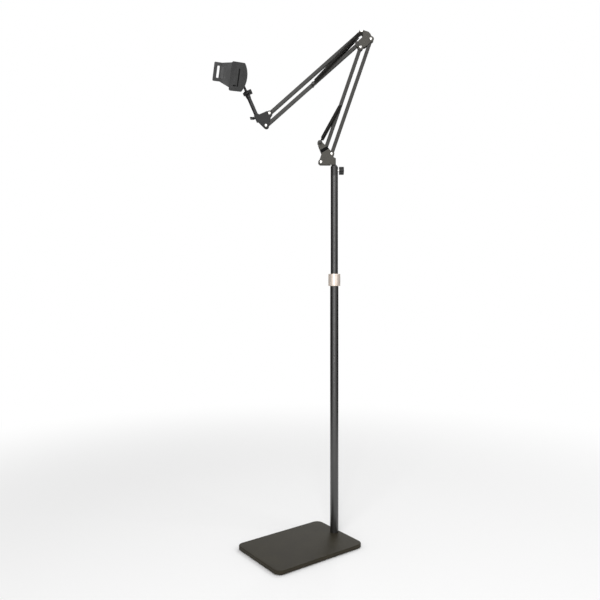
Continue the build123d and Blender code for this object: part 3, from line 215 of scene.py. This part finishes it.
# which finish and which edge rounding in millimetres each CAD piece gets
skinOf = {
    "base_plate": ("powderCoatedPlate", 0),
    "base_pad": ("closedCellFoam", 0),
    "foot_bolt": ("nickelPlate", 0.5),
    "foot_insert": ("turnedSteel", 0),
    "lower_tube": ("stovedEnamel", 0),
    "upper_tube": ("stovedEnamel", 0),
    "pole_collet": ("acetalBush", 0),
    "collar_screw": ("blackOxideSteel", 0.2),
    "guide_bush": ("acetalBush", 0),
    "pole_head": ("paintedTurning", 0.4),
    "head_screw": ("nickelPlate", 0),
    "head_knob": ("mouldedAbsBlack", 0.7),
    "swivel_washer": ("acetalBush", 0.3),
    "arm_spigot": ("turnedSteel", 0.3),
    "arm_bracket": ("sprayedWarmSheet", 0.35),
    "bracket_band": ("bareBlackFilm", 0),
    "bracket_nuts": ("nickelPlate", 0.4),
    "spring_studs": ("blackOxideSteel", 0.3),
    "lower_arm_left": ("sprayedGreyTube", 0.25),
    "lower_arm_right": ("sprayedGreyTube", 0.25),
    "upper_arm_top": ("sprayedGreyTube", 0.25),
    "upper_arm_bottom": ("sprayedGreyTube", 0.25),
    "lower_left_bushes": ("acetalBush", 0),
    "lower_right_bushes": ("acetalBush", 0),
    "upper_top_bushes": ("acetalBush", 0),
    "upper_bottom_bushes": ("acetalBush", 0),
    "lower_anchor_pin": ("blackOxideSteel", 0.4),
    "upper_anchor_pin": ("blackOxideSteel", 0.4),
    "elbow_plate_near": ("sprayedWarmSheet", 0.35),
    "elbow_plate_far": ("sprayedWarmSheet", 0.35),
    "elbow_nuts": ("nickelPlate", 0.4),
    "elbow_rivet": ("blackOxideSteel", 0.4),
    "elbow_spring_bolt": ("nickelPlate", 0.5),
    "wrist_plate_near": ("sprayedBlackSheet", 0.35),
    "wrist_plate_far": ("sprayedBlackSheet", 0.35),
    "wrist_nuts": ("nickelPlate", 0.4),
    "wrist_socket": ("sprayedBlackSheet", 0.4),
    "wing_screw": ("mouldedAbsBlack", 0.8),
    "clamp_rod": ("paintedRod", 0.3),
    "rod_fork": ("paintedRod", 0.5),
    "hinge_bolt": ("blackOxideSteel", 0.5),
    "hinge_knob": ("mouldedAbsBlack", 0.5),
    "ball_stem": ("paintedRod", 0.3),
    "socket_ring": ("mouldedAbsBlack", 0.5),
    "ball_socket": ("mouldedAbsCharcoal", 0.5),
    "clamp_housing": ("mouldedAbsCharcoal", 0.8),
    "cover_screws": ("blackOxideSteel", 0.3),
    # the face and the sliding jaw take the paler lit copy of the moulding, painted light
    "front_plate": ("mouldedAbsPaintedLight", 0),
    "front_pad": ("softRubber", 0),
    "fixed_jaw": ("mouldedAbsCharcoal", 0.6),
    "sliding_jaw": ("mouldedAbsPaintedLight", 0.5),
}


# millimetres and degrees of the clean-up and of the broken edges
skinValues = {"mergeDistance": 0.002, "flatAngle": 1.0, "smoothAngle": 35, "bevelAngle": 38,
              "bevelSteps": 3}


def finishMesh(piece, material, smoothAngle=skinValues["smoothAngle"]):
    piece.data.materials.clear()
    piece.data.materials.append(materials[material])
    piece.data.shade_smooth()
    piece.data.set_sharp_from_angle(angle=math.radians(smoothAngle))


def linkPiece(name, mesh):
    piece = bpy.data.objects.new(name, mesh)
    bpy.context.scene.collection.objects.link(piece)
    return piece


def dressNode(nodeName, material, rounding):
    # a merged copy of the CAD piece, with its edges broken as on the real one
    mesh = frame["nodes"][nodeName].data.copy()
    work = bmesh.new()
    work.from_mesh(mesh)
    bmesh.ops.remove_doubles(work, verts=work.verts, dist=mm(skinValues["mergeDistance"]))
    bmesh.ops.dissolve_limit(work, angle_limit=math.radians(skinValues["flatAngle"]),
                             verts=work.verts, edges=work.edges)
    work.to_mesh(mesh)
    work.free()
    piece = linkPiece(nodeName + "Skin", mesh)
    finishMesh(piece, material)
    if rounding:
        edge = piece.modifiers.new("brokenEdge", "BEVEL")
        edge.width = mm(rounding)
        edge.segments = skinValues["bevelSteps"]
        edge.limit_method = "ANGLE"
        edge.angle_limit = math.radians(skinValues["bevelAngle"])
        edge.harden_normals = True
    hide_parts(nodeName)
    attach(piece, bodyOf[nodeName])
    return piece


skins = {nodeName: dressNode(nodeName, *skin) for nodeName, skin in skinOf.items()}
print("pieces dressed:", len(skinOf))

# the rod's skin is 2 mm thicker than its solid, as the photo shows it
rodSkin = {"solidRadius": 5.0, "shownRadius": 6.0, "tolerance": 0.05}
rodPlace = Vector(jointOf["rod_turn"]["pos_m"])
rodAxis = Vector(jointOf["rod_turn"]["axis"]).normalized()
for vertex in skins["clamp_rod"].data.vertices:
    offset = vertex.co - rodPlace
    outward = offset - rodAxis * offset.dot(rodAxis)
    if abs(outward.length - mm(rodSkin["solidRadius"])) < mm(rodSkin["tolerance"]):
        vertex.co += outward * (rodSkin["shownRadius"] / rodSkin["solidRadius"] - 1)

# painted shade: the faces down in the slot and the recess of the fixed jaw's side get black where
# shade falls in them, all else stays charcoal
slotShadePaint = {"material": "mouldedAbsBlack", "leastDepth": 0.3, "mostDepth": 3.6, "reach": (34, 14)}
clampAcross = -Vector(jointOf["jaw_slide"]["axis"]).normalized()
cupBack = -Vector(jointOf["clamp_spin"]["axis"]).normalized()
cupSide = clampAcross.cross(cupBack)
clampUp = (cupBack - cupSide).normalized()
clampFacing = (cupBack + cupSide).normalized()
jawMesh = skins["fixed_jaw"].data
jawMesh.materials.append(materials[slotShadePaint["material"]])
outerFace = max(vertex.co.dot(clampAcross) for vertex in jawMesh.vertices)
ups = [vertex.co.dot(clampUp) for vertex in jawMesh.vertices]
facings = [vertex.co.dot(clampFacing) for vertex in jawMesh.vertices]
middleUp, middleFacing = (min(ups) + max(ups)) / 2, (min(facings) + max(facings)) / 2
shadePainted = 0
# black on the sunken faces is painted shade
for face in jawMesh.polygons:
    depth = outerFace - face.center.dot(clampAcross)
    offUp = abs(face.center.dot(clampUp) - middleUp)
    offFacing = abs(face.center.dot(clampFacing) - middleFacing)
    inside = offUp < mm(slotShadePaint["reach"][0]) and offFacing < mm(slotShadePaint["reach"][1])
    if mm(slotShadePaint["leastDepth"]) < depth < mm(slotShadePaint["mostDepth"]) and inside:
        face.material_index = 1
        shadePainted += 1
print("faces lined in the fixed jaw:", shadePainted)


def middleOf(nodeName):
    low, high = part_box(nodeName)
    return (Vector(low) + Vector(high)) / 2


def makeTree(name, inputs):
    # a Geometry Nodes tree with named inputs
    tree = bpy.data.node_groups.new(name, "GeometryNodeTree")
    tree.interface.new_socket(name="Geometry", in_out="OUTPUT", socket_type="NodeSocketGeometry")
    tree.interface.new_socket(name="Geometry", in_out="INPUT", socket_type="NodeSocketGeometry")
    for label, socketType in inputs:
        tree.interface.new_socket(name=label, in_out="INPUT", socket_type=socketType)
    source = tree.nodes.new("NodeGroupInput")
    target = tree.nodes.new("NodeGroupOutput")
    return tree, source.outputs, target.inputs


def endTree(tree, shape, material, target):
    # every tree ends in real geometry with its finish
    real = addNode(tree, "GeometryNodeRealizeInstances", links={"Geometry": shape})
    painted = addNode(tree, "GeometryNodeSetMaterial",
                      links={"Geometry": real.outputs["Geometry"], "Material": material})
    tree.links.new(painted.outputs["Geometry"], target["Geometry"])


def grow(name, data, tree, values, place):
    # runs a tree on an object's data and keeps the result as a plain mesh in the row frame
    seedObject = bpy.data.objects.new(name + "Seed", data)
    bpy.context.scene.collection.objects.link(seedObject)
    modifier = seedObject.modifiers.new(name, "NODES")
    modifier.node_group = tree
    for item in tree.interface.items_tree:
        if item.in_out == "INPUT" and item.name in values:
            modifier[item.identifier] = values[item.name]
    evaluated = seedObject.evaluated_get(bpy.context.evaluated_depsgraph_get())
    mesh = bpy.data.meshes.new_from_object(evaluated)
    seedObject.modifiers.remove(modifier)
    bpy.data.objects.remove(seedObject)
    mesh.transform(place)
    return linkPiece(name, mesh)


# close-wound springs: a coil with a wire hook at each end
springTree, given, result = makeTree("closeWoundSpring", [
    ("Turns", "NodeSocketFloat"), ("Body Length", "NodeSocketFloat"),
    ("Coil Radius", "NodeSocketFloat"), ("Wire Radius", "NodeSocketFloat"),
    ("Steps", "NodeSocketInt"), ("Sides", "NodeSocketInt"), ("Material", "NodeSocketMaterial")])
coil = addNode(springTree, "GeometryNodeCurveSpiral",
               links={"Resolution": given["Steps"], "Rotations": given["Turns"],
                      "Start Radius": given["Coil Radius"], "End Radius": given["Coil Radius"],
                      "Height": given["Body Length"]})
wirePath = addNode(springTree, "GeometryNodeJoinGeometry")
springTree.links.new(given["Geometry"], wirePath.inputs["Geometry"])
springTree.links.new(coil.outputs["Curve"], wirePath.inputs["Geometry"])
wireSection = addNode(springTree, "GeometryNodeCurvePrimitiveCircle",
                      links={"Resolution": given["Sides"], "Radius": given["Wire Radius"]})
wire = addNode(springTree, "GeometryNodeCurveToMesh", {"Fill Caps": True},
               {"Curve": wirePath.outputs["Geometry"],
                "Profile Curve": wireSection.outputs["Curve"]})
roundWire = addNode(springTree, "GeometryNodeSetShadeSmooth",
                    links={"Geometry": wire.outputs["Mesh"]})
endTree(springTree, roundWire.outputs["Geometry"], given["Material"], result)

springs = {
    "pitch": 2.03, "eyeStart": 90, "eyeTurn": 320, "legRise": 0.45, "jawStiffShare": 3,
    "arm": dict(coilRadius=4.1, wireRadius=0.9, eyeRadius=3.7, sideways=13.5,
                steps=18, sides=8, eyeSteps=28, legSteps=8),
    "jaw": dict(coilRadius=2.3, wireRadius=0.45, eyeRadius=1.9, sideways=8.0,
                steps=14, sides=6, eyeSteps=20, legSteps=6),
    # cuts are shares of the length, turned is how much of the arm's turn each cut takes
    "lower": dict(start="spring_studs", finish="lower_anchor_pin", firstHook=15, lastHook=8,
                  cuts=(0.0, 0.1, 0.3, 0.6, 1.0), turned=(0.0, 0.25, 0.568, 0.823, 1.0)),
    "upper": dict(start="elbow_spring_bolt", finish="upper_anchor_pin", firstHook=12, lastHook=10,
                  lastPart=0.8, overlap=0.02, turned=0.88),
}


def hookPoints(wound, pinDistance, direction, coilAngle):
    # from the coil's end in to its axis, along it and round the pin; direction -1 is the start
    points = []
    radius, eye = wound["coilRadius"], wound["eyeRadius"]
    for step in range(wound["legSteps"] + 1):
        share = step / wound["legSteps"]
        angle = coilAngle + direction * share * math.pi / 2
        inward = radius * (1 - share * share)
        points.append((inward * math.cos(angle), inward * math.sin(angle),
                       direction * share * radius * springs["legRise"]))
    for step in range(wound["eyeSteps"] + 1):
        angle = math.radians(springs["eyeStart"] + springs["eyeTurn"] * step / wound["eyeSteps"])
        points.append((-direction * eye * math.cos(angle), 0,
                       direction * (pinDistance - eye * math.sin(angle))))
    return points


def hookCurve(name, paths):
    curve = bpy.data.curves.new(name, "CURVE")
    curve.dimensions = "3D"
    for path in paths:
        line = curve.splines.new("POLY")
        line.points.add(len(path) - 1)
        for point, place in zip(line.points, path):
            point.co = (*[mm(value) for value in place], 1)
    return curve


def windSpring(name, wound, first, last, depthWay, firstHook, lastHook):
    # a close-wound coil between two pins, with a hook round each
    span = (last - first).length
    axis = (last - first).normalized()
    bodyLength = span - mm(firstHook + lastHook)
    turns = round(bodyLength / mm(springs["pitch"] * wound["wireRadius"]))
    place = Matrix((depthWay.cross(axis), depthWay, axis)).transposed().to_4x4()
    place.translation = first + axis * mm(firstHook)
    startHook = hookPoints(wound, firstHook, -1, 0)
    endHook = [(x, y, z + bodyLength * 1000) for x, y, z in hookPoints(wound, lastHook, 1, 0)]
    return grow(name, hookCurve(name, [startHook, endHook]), springTree,
                {"Turns": float(turns), "Body Length": bodyLength,
                 "Coil Radius": mm(wound["coilRadius"]), "Wire Radius": mm(wound["wireRadius"]),
                 "Steps": wound["steps"], "Sides": wound["sides"],
                 "Material": materials["hardDrawnWire"]}, place)


def cutLength(piece, first, last, low, high, name):
    # a copy with only the wire between two shares of the length
    span = last - first
    mesh = piece.data.copy()
    work = bmesh.new()
    work.from_mesh(mesh)
    shares = {face: (face.calc_center_median() - first).dot(span) / span.length_squared
              for face in work.faces}
    spare = [face for face, share in shares.items() if not low <= share < high]
    bmesh.ops.delete(work, geom=spare, context="FACES")
    work.to_mesh(mesh)
    work.free()
    return linkPiece(name, mesh)


def blendPlace(turned):
    # where along a blend's own smooth curve a share of the turn is reached
    return 0.5 - math.sin(math.asin(1 - 2 * turned) / 3)


def armSprings(section, side, sign):
    values, wound = springs[section], springs["arm"]
    first, last = middleOf(values["start"]), middleOf(values["finish"])
    aside = towardViewer * mm(wound["sideways"]) * sign
    name = f"{section}_spring_{side}"
    whole = windSpring(name + "Wire", wound, first + aside, last + aside, towardViewer,
                       values["firstHook"], values["lastHook"])
    return name, whole, first, last


for side, sign in (("near", 1), ("far", -1)):
    # lower spring: cut into four lengths, each baked in place as wound
    name, whole, first, last = armSprings("lower", side, sign)
    cuts, turned = springs["lower"]["cuts"], springs["lower"]["turned"]
    for part in range(len(cuts) - 1):
        low = cuts[part] if part else -math.inf
        high = cuts[part + 1] if part < len(cuts) - 2 else math.inf
        piece = cutLength(whole, first, last, low, high, f"{name}Wire{part + 1}")
        placeLow, placeHigh = blendPlace(turned[part]), blendPlace(turned[part + 1])
        reach = (cuts[part + 1] - cuts[part]) / (placeHigh - placeLow)
        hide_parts(name)
        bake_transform(piece)
    bpy.data.objects.remove(whole)

    # upper spring: the coil is baked in place as wound, and its last turns stay with the tube's pin
    name, whole, first, last = armSprings("upper", side, sign)
    values = springs["upper"]
    coilEnd = values["lastPart"] + values["overlap"]
    coilPart = cutLength(whole, first, last, -math.inf, coilEnd, name + "Wire1")
    endPart = cutLength(whole, first, last, values["lastPart"], math.inf, name + "Wire2")
    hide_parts(name)
    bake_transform(coilPart)
    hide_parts(name)
    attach(endPart, "upper_bottom")
    bpy.data.objects.remove(whole)
print("arm springs wound")

# dome-headed shoulder screws of the pivots: a washer face, a dome and a hexagon socket
screwTree, given, result = makeTree("domeHeadScrews", [
    ("Head Radius", "NodeSocketFloat"), ("Head Height", "NodeSocketFloat"),
    ("Shank Radius", "NodeSocketFloat"), ("Shank Length", "NodeSocketFloat"),
    ("Socket Radius", "NodeSocketFloat"), ("Material", "NodeSocketMaterial")])
flangeShare = 0.35  # of the head's height
headSteps, shankSteps = 40, 32  # sides of the round forms
flangeHeight = addNode(screwTree, "ShaderNodeMath", {"operation": "MULTIPLY", 1: flangeShare},
                       {0: given["Head Height"]})
domeHeight = addNode(screwTree, "ShaderNodeMath", {"operation": "MULTIPLY", 1: 1 - flangeShare},
                     {0: given["Head Height"]})
flange = addNode(screwTree, "GeometryNodeMeshCylinder", {"Vertices": headSteps},
                 {"Radius": given["Head Radius"], "Depth": flangeHeight.outputs[0]})
halfFlange = addNode(screwTree, "ShaderNodeMath", {"operation": "MULTIPLY", 1: 0.5},
                     {0: flangeHeight.outputs[0]})
flangePlace = addNode(screwTree, "ShaderNodeCombineXYZ", links={"Z": halfFlange.outputs[0]})
flangeUp = addNode(screwTree, "GeometryNodeTransform",
                   links={"Geometry": flange.outputs["Mesh"],
                          "Translation": flangePlace.outputs["Vector"]})
ball = addNode(screwTree, "GeometryNodeMeshUVSphere",
               {"Segments": headSteps, "Rings": headSteps // 2, "Radius": 1.0})
ballScale = addNode(screwTree, "ShaderNodeCombineXYZ",
                    links={"X": given["Head Radius"], "Y": given["Head Radius"],
                           "Z": domeHeight.outputs[0]})
ballPlace = addNode(screwTree, "ShaderNodeCombineXYZ", links={"Z": flangeHeight.outputs[0]})
dome = addNode(screwTree, "GeometryNodeTransform",
               links={"Geometry": ball.outputs["Mesh"], "Translation": ballPlace.outputs["Vector"],
                      "Scale": ballScale.outputs["Vector"]})
smoothDome = addNode(screwTree, "GeometryNodeSetShadeSmooth",
                     links={"Geometry": dome.outputs["Geometry"]})
shank = addNode(screwTree, "GeometryNodeMeshCylinder", {"Vertices": shankSteps},
                {"Radius": given["Shank Radius"], "Depth": given["Shank Length"]})
shankDrop = addNode(screwTree, "ShaderNodeMath", {"operation": "MULTIPLY", 1: -0.5},
                    {0: given["Shank Length"]})
shankPlace = addNode(screwTree, "ShaderNodeCombineXYZ", links={"Z": shankDrop.outputs[0]})
shankDown = addNode(screwTree, "GeometryNodeTransform",
                    links={"Geometry": shank.outputs["Mesh"],
                           "Translation": shankPlace.outputs["Vector"]})
socketHole = addNode(screwTree, "GeometryNodeMeshCylinder", {"Vertices": 6},
                     {"Radius": given["Socket Radius"], "Depth": given["Head Height"]})
socketPlace = addNode(screwTree, "ShaderNodeCombineXYZ", links={"Z": given["Head Height"]})
socketUp = addNode(screwTree, "GeometryNodeTransform",
                   links={"Geometry": socketHole.outputs["Mesh"],
                          "Translation": socketPlace.outputs["Vector"]})
head = addNode(screwTree, "GeometryNodeMeshBoolean", {"operation": "DIFFERENCE"},
               {"Mesh 1": smoothDome.outputs["Geometry"], "Mesh 2": socketUp.outputs["Geometry"]})
screw = addNode(screwTree, "GeometryNodeJoinGeometry")
for source in (flangeUp.outputs["Geometry"], head.outputs["Mesh"], shankDown.outputs["Geometry"]):
    screwTree.links.new(source, screw.inputs["Geometry"])
seated = addNode(screwTree, "GeometryNodeInstanceOnPoints",
                 links={"Points": given["Geometry"], "Instance": screw.outputs["Geometry"]})
endTree(screwTree, seated.outputs["Instances"], given["Material"], result)

screws = {"headRadius": 4.6, "headHeight": 2.8, "shankRadius": 2.5, "socketRadius": 1.7,
          "plateOuter": 7.9, "nutSide": 4.5}
pivotJoints = {
    "bracket_bolts": ("lower_arm_pitch", "lower_right_pitch"),
    "elbow_bolts": ("elbow_level",),
    "wrist_bolts": ("wrist_level",),
}


def screwPlaces(nodeName):
    # the two pivots of a bolt group: a joint's own place, and the one across the group's middle
    places = [Vector(jointOf[name]["pos_m"]) for name in pivotJoints[nodeName]]
    if len(places) == 1:
        places.append(middleOf(nodeName) * 2 - places[0]
                      - towardViewer * mm(screws["headHeight"] - screws["nutSide"]))
    return places


turnToViewer = Matrix((alongArm, upward, towardViewer)).transposed().to_4x4()
for nodeName in pivotJoints:
    places = [turnToViewer.inverted() @ place for place in screwPlaces(nodeName)]
    points = bpy.data.meshes.new(nodeName + "Points")
    points.from_pydata([(p.x, p.y, mm(screws["plateOuter"])) for p in places], [], [])
    planeDepth = places[0].z
    shift = Matrix.Translation(towardViewer * planeDepth)
    piece = grow(nodeName + "Domes", points, screwTree,
                 {"Head Radius": mm(screws["headRadius"]), "Head Height": mm(screws["headHeight"]),
                  "Shank Radius": mm(screws["shankRadius"]),
                  "Shank Length": mm(2 * screws["plateOuter"] + screws["nutSide"]),
                  "Socket Radius": mm(screws["socketRadius"]),
                  "Material": materials["nickelPlate"]},
                 shift @ turnToViewer)
    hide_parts(nodeName)
    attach(piece, bodyOf[nodeName])
print("pivot screws set")

# lock collar: turned with a bead line near each end, and its lips
collar = {"radius": 18.0, "edge": 1.0, "edgeShare": 0.3, "lineInset": 3.0, "lineWidth": 0.9,
          "lineDepth": 0.45, "slopeShare": 0.2, "bore": 12.8, "lipBore": 11.3, "lipHeight": 3,
          "steps": 96, "smoothAngle": 25}


def latheMesh(name, profile, centre, steps):
    # turns a closed outline of radius and height round the pole
    verts, faces = [], []
    count = len(profile)
    for step in range(steps):
        angle = 2 * math.pi * step / steps
        for radius, height in profile:
            verts.append((centre.x + mm(radius) * math.cos(angle),
                          centre.y + mm(radius) * math.sin(angle), mm(height)))
    for step in range(steps):
        following = (step + 1) % steps
        for place in range(count):
            nextPlace = (place + 1) % count
            faces.append((step * count + place, following * count + place,
                          following * count + nextPlace, step * count + nextPlace))
    mesh = bpy.data.meshes.new(name)
    mesh.from_pydata(verts, [], faces)
    work = bmesh.new()
    work.from_mesh(mesh)
    bmesh.ops.recalc_face_normals(work, faces=work.faces)
    work.to_mesh(mesh)
    work.free()
    return mesh


low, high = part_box("lock_collar")
bottom, top = low[2] * 1000, high[2] * 1000
outer, edge, bore, lipBore = collar["radius"], collar["edge"], collar["bore"], collar["lipBore"]
inset, width, depth = collar["lineInset"], collar["lineWidth"], collar["lineDepth"]
broken = edge * collar["edgeShare"]
slope, floorEnd = width * collar["slopeShare"], width * (1 - collar["slopeShare"])
profile = [
    (bore, bottom), (outer - edge, bottom), (outer - broken, bottom + broken),
    (outer, bottom + edge),
    (outer, bottom + inset), (outer - depth, bottom + inset + slope),
    (outer - depth, bottom + inset + floorEnd), (outer, bottom + inset + width),
    (outer, top - inset - width), (outer - depth, top - inset - floorEnd),
    (outer - depth, top - inset - slope), (outer, top - inset),
    (outer, top - edge), (outer - broken, top - broken), (outer - edge, top),
    (lipBore, top), (lipBore, top - collar["lipHeight"]), (bore, top - collar["lipHeight"]),
]
collarMesh = latheMesh("lock_collarTurned", profile, poleCentre, collar["steps"])
collarPiece = linkPiece("lock_collarTurned", collarMesh)
finishMesh(collarPiece, "satinNickelCollar", collar["smoothAngle"])
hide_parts("lock_collar")
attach(collarPiece, bodyOf["lock_collar"])
print("collar turned")

# clamp springs under the tongue, wound from the jaw's end to the housing's end and baked in place
jawCorners = [vertex.co for vertex in frame["nodes"]["jaw_springs"].data.vertices]
alongs = [corner.dot(clampAcross) for corner in jawCorners]
jawMiddle = sum(jawCorners, Vector()) / len(jawCorners)
jawMiddle += clampAcross * ((min(alongs) + max(alongs)) / 2 - jawMiddle.dot(clampAcross))
halfLength = (max(alongs) - min(alongs)) / 2
wound = springs["jaw"]
hook = wound["eyeRadius"] + 2 * wound["wireRadius"]
for side, sign in (("Up", 1), ("Down", -1)):
    centre = jawMiddle + clampUp * mm(wound["sideways"]) * sign
    jawEnd, housingEnd = centre - clampAcross * halfLength, centre + clampAcross * halfLength
    piece = windSpring("jaw_spring" + side, wound, jawEnd + clampAcross * mm(hook),
                       housingEnd - clampAcross * mm(hook), clampFacing, hook, hook)
    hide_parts("jaw_springs")
    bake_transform(piece)
print("clamp springs wound")

# studio: pale floor that fades into white, and a white surround
studio = {"halfFloor": 9.0, "fadeStart": 0.7, "fadeEnd": 2.2, "floorColour": "#ffffff",
          "flagColour": "#141414", "flagBottom": 0.02, "ambient": 0.5, "lampAim": (-0.05, 0, 0.9)}


def seenDirectly(tree):
    # 1 for what the camera, a mirror or clear glass looks at
    rays = addNode(tree, "ShaderNodeLightPath")
    seen = addNode(tree, "ShaderNodeMath", {"operation": "MAXIMUM"},
                   {0: rays.outputs["Is Camera Ray"], 1: rays.outputs["Is Glossy Ray"]})
    return addNode(tree, "ShaderNodeMath", {"operation": "MAXIMUM"},
                   {0: seen.outputs[0], 1: rays.outputs["Is Transmission Ray"]}).outputs[0]


floorMesh = bpy.data.meshes.new("floor")
half = studio["halfFloor"]
floorMesh.from_pydata([(-half, -half, 0), (half, -half, 0), (half, half, 0), (-half, half, 0)],
                      [], [(0, 1, 2, 3)])
floor = linkPiece("floor", floorMesh)
floorMaterial = bpy.data.materials.new("seamlessPaper")
tree = emptyTree(floorMaterial)
place = addNode(tree, "ShaderNodeTexCoord").outputs["Object"]
reach = addNode(tree, "ShaderNodeVectorMath", {"operation": "LENGTH"}, {0: place})
fade = addNode(tree, "ShaderNodeMapRange",
               {"interpolation_type": "SMOOTHSTEP", "From Min": studio["fadeStart"],
                "From Max": studio["fadeEnd"]},
               {"Value": reach.outputs["Value"]})
paper = addNode(tree, "ShaderNodeBsdfDiffuse", {"Color": hexToLinear(studio["floorColour"])})
white = addNode(tree, "ShaderNodeEmission", {"Color": (1, 1, 1, 1), "Strength": 1.0})
share = addNode(tree, "ShaderNodeMath", {"operation": "MULTIPLY"},
                {0: fade.outputs["Result"], 1: seenDirectly(tree)})
mixed = addNode(tree, "ShaderNodeMixShader",
                links={0: share.outputs[0], 1: paper.outputs["BSDF"], 2: white.outputs["Emission"]})
addNode(tree, "ShaderNodeOutputMaterial", links={"Surface": mixed.outputs["Shader"]})
floorMesh.materials.append(floorMaterial)

world = bpy.data.worlds.new("studioSurround")
bpy.context.scene.world = world
tree = emptyTree(world)
soft = addNode(tree, "ShaderNodeBackground", {"Color": (1, 1, 1, 1), "Strength": studio["ambient"]})
clear = addNode(tree, "ShaderNodeBackground", {"Color": (1, 1, 1, 1), "Strength": 1.0})
mixed = addNode(tree, "ShaderNodeMixShader",
                links={0: seenDirectly(tree), 1: soft.outputs["Background"],
                       2: clear.outputs["Background"]})
addNode(tree, "ShaderNodeOutputWorld", links={"Surface": mixed.outputs["Shader"]})

# the camera's own directions, level; the photo's horizon is 14 of its 600 pixels above the middle
view = {"turn": -36.5, "distance": 1.8007, "height": 0.7498, "sideways": -0.1029, "lens": 36.0,
        "sensor": 36.0, "rise": -14 / 600}
turn = math.radians(view["turn"])
ahead = Vector((-math.sin(turn), math.cos(turn), 0))
right = Vector((math.cos(turn), math.sin(turn), 0))

# lamps and flags: places are metres to the right of the pole, towards the camera and up
lamps = {
    "keyLamp": dict(place=(-0.5, 2.4, 2.7), size=(1.5, 1.5), power=36),
    "stripLamp": dict(place=(-0.35, 2.5, 0.95), size=(0.3, 2.1), power=13),
    "fillLamp": dict(place=(2.2, 1.0, 1.9), size=(1.2, 1.2), power=12),
    "rimLamp": dict(place=(0.8, -2.2, 2.6), size=(1.4, 1.4), power=20),
}
flags = {
    "flagLeft": dict(side=-1.15, near=0.9, far=-2.6, top=2.3),
    "flagRight": dict(side=1.15, near=0.9, far=-2.6, top=2.3),
}


def inStudio(sideways, near, height):
    return poleCentre + right * sideways - ahead * near + upward * height


lampAim = inStudio(*studio["lampAim"])
for name, values in lamps.items():
    light = bpy.data.lights.new(name, "AREA")
    light.shape = "RECTANGLE"
    light.size, light.size_y = values["size"]
    light.energy = values["power"]
    lamp = bpy.data.objects.new(name, light)
    lamp.location = inStudio(*values["place"])
    lamp.rotation_euler = (lampAim - lamp.location).to_track_quat("-Z", "Y").to_euler()
    bpy.context.scene.collection.objects.link(lamp)

flagCloth = bpy.data.materials.new("blackFlagCloth")
tree = emptyTree(flagCloth)
cloth = addNode(tree, "ShaderNodeBsdfDiffuse", {"Color": hexToLinear(studio["flagColour"])})
addNode(tree, "ShaderNodeOutputMaterial", links={"Surface": cloth.outputs["BSDF"]})
for name, values in flags.items():
    side, near, far, top = values["side"], values["near"], values["far"], values["top"]
    low = studio["flagBottom"]
    corners = [inStudio(side, near, low), inStudio(side, far, low),
               inStudio(side, far, top), inStudio(side, near, top)]
    flagMesh = bpy.data.meshes.new(name)
    flagMesh.from_pydata([tuple(corner) for corner in corners], [], [(0, 1, 2, 3)])
    flagMesh.materials.append(flagCloth)
    flag = linkPiece(name, flagMesh)
    flag.visible_camera = False  # only darkens what shiny surfaces mirror from the sides
    flag.visible_diffuse = False
    flag.visible_shadow = False

# camera: level and turned as the photo was taken
cameraData = bpy.data.cameras.new("camera")
cameraData.lens = view["lens"]
cameraData.sensor_width = view["sensor"]
cameraData.shift_y = view["rise"]
camera = bpy.data.objects.new("camera", cameraData)
camera.location = inStudio(view["sideways"], view["distance"], view["height"])
camera.rotation_euler = (math.radians(90), 0, turn)
bpy.context.scene.collection.objects.link(camera)
bpy.context.scene.camera = camera
bpy.context.scene.view_settings.view_transform = "Standard"
print("studio and camera set")
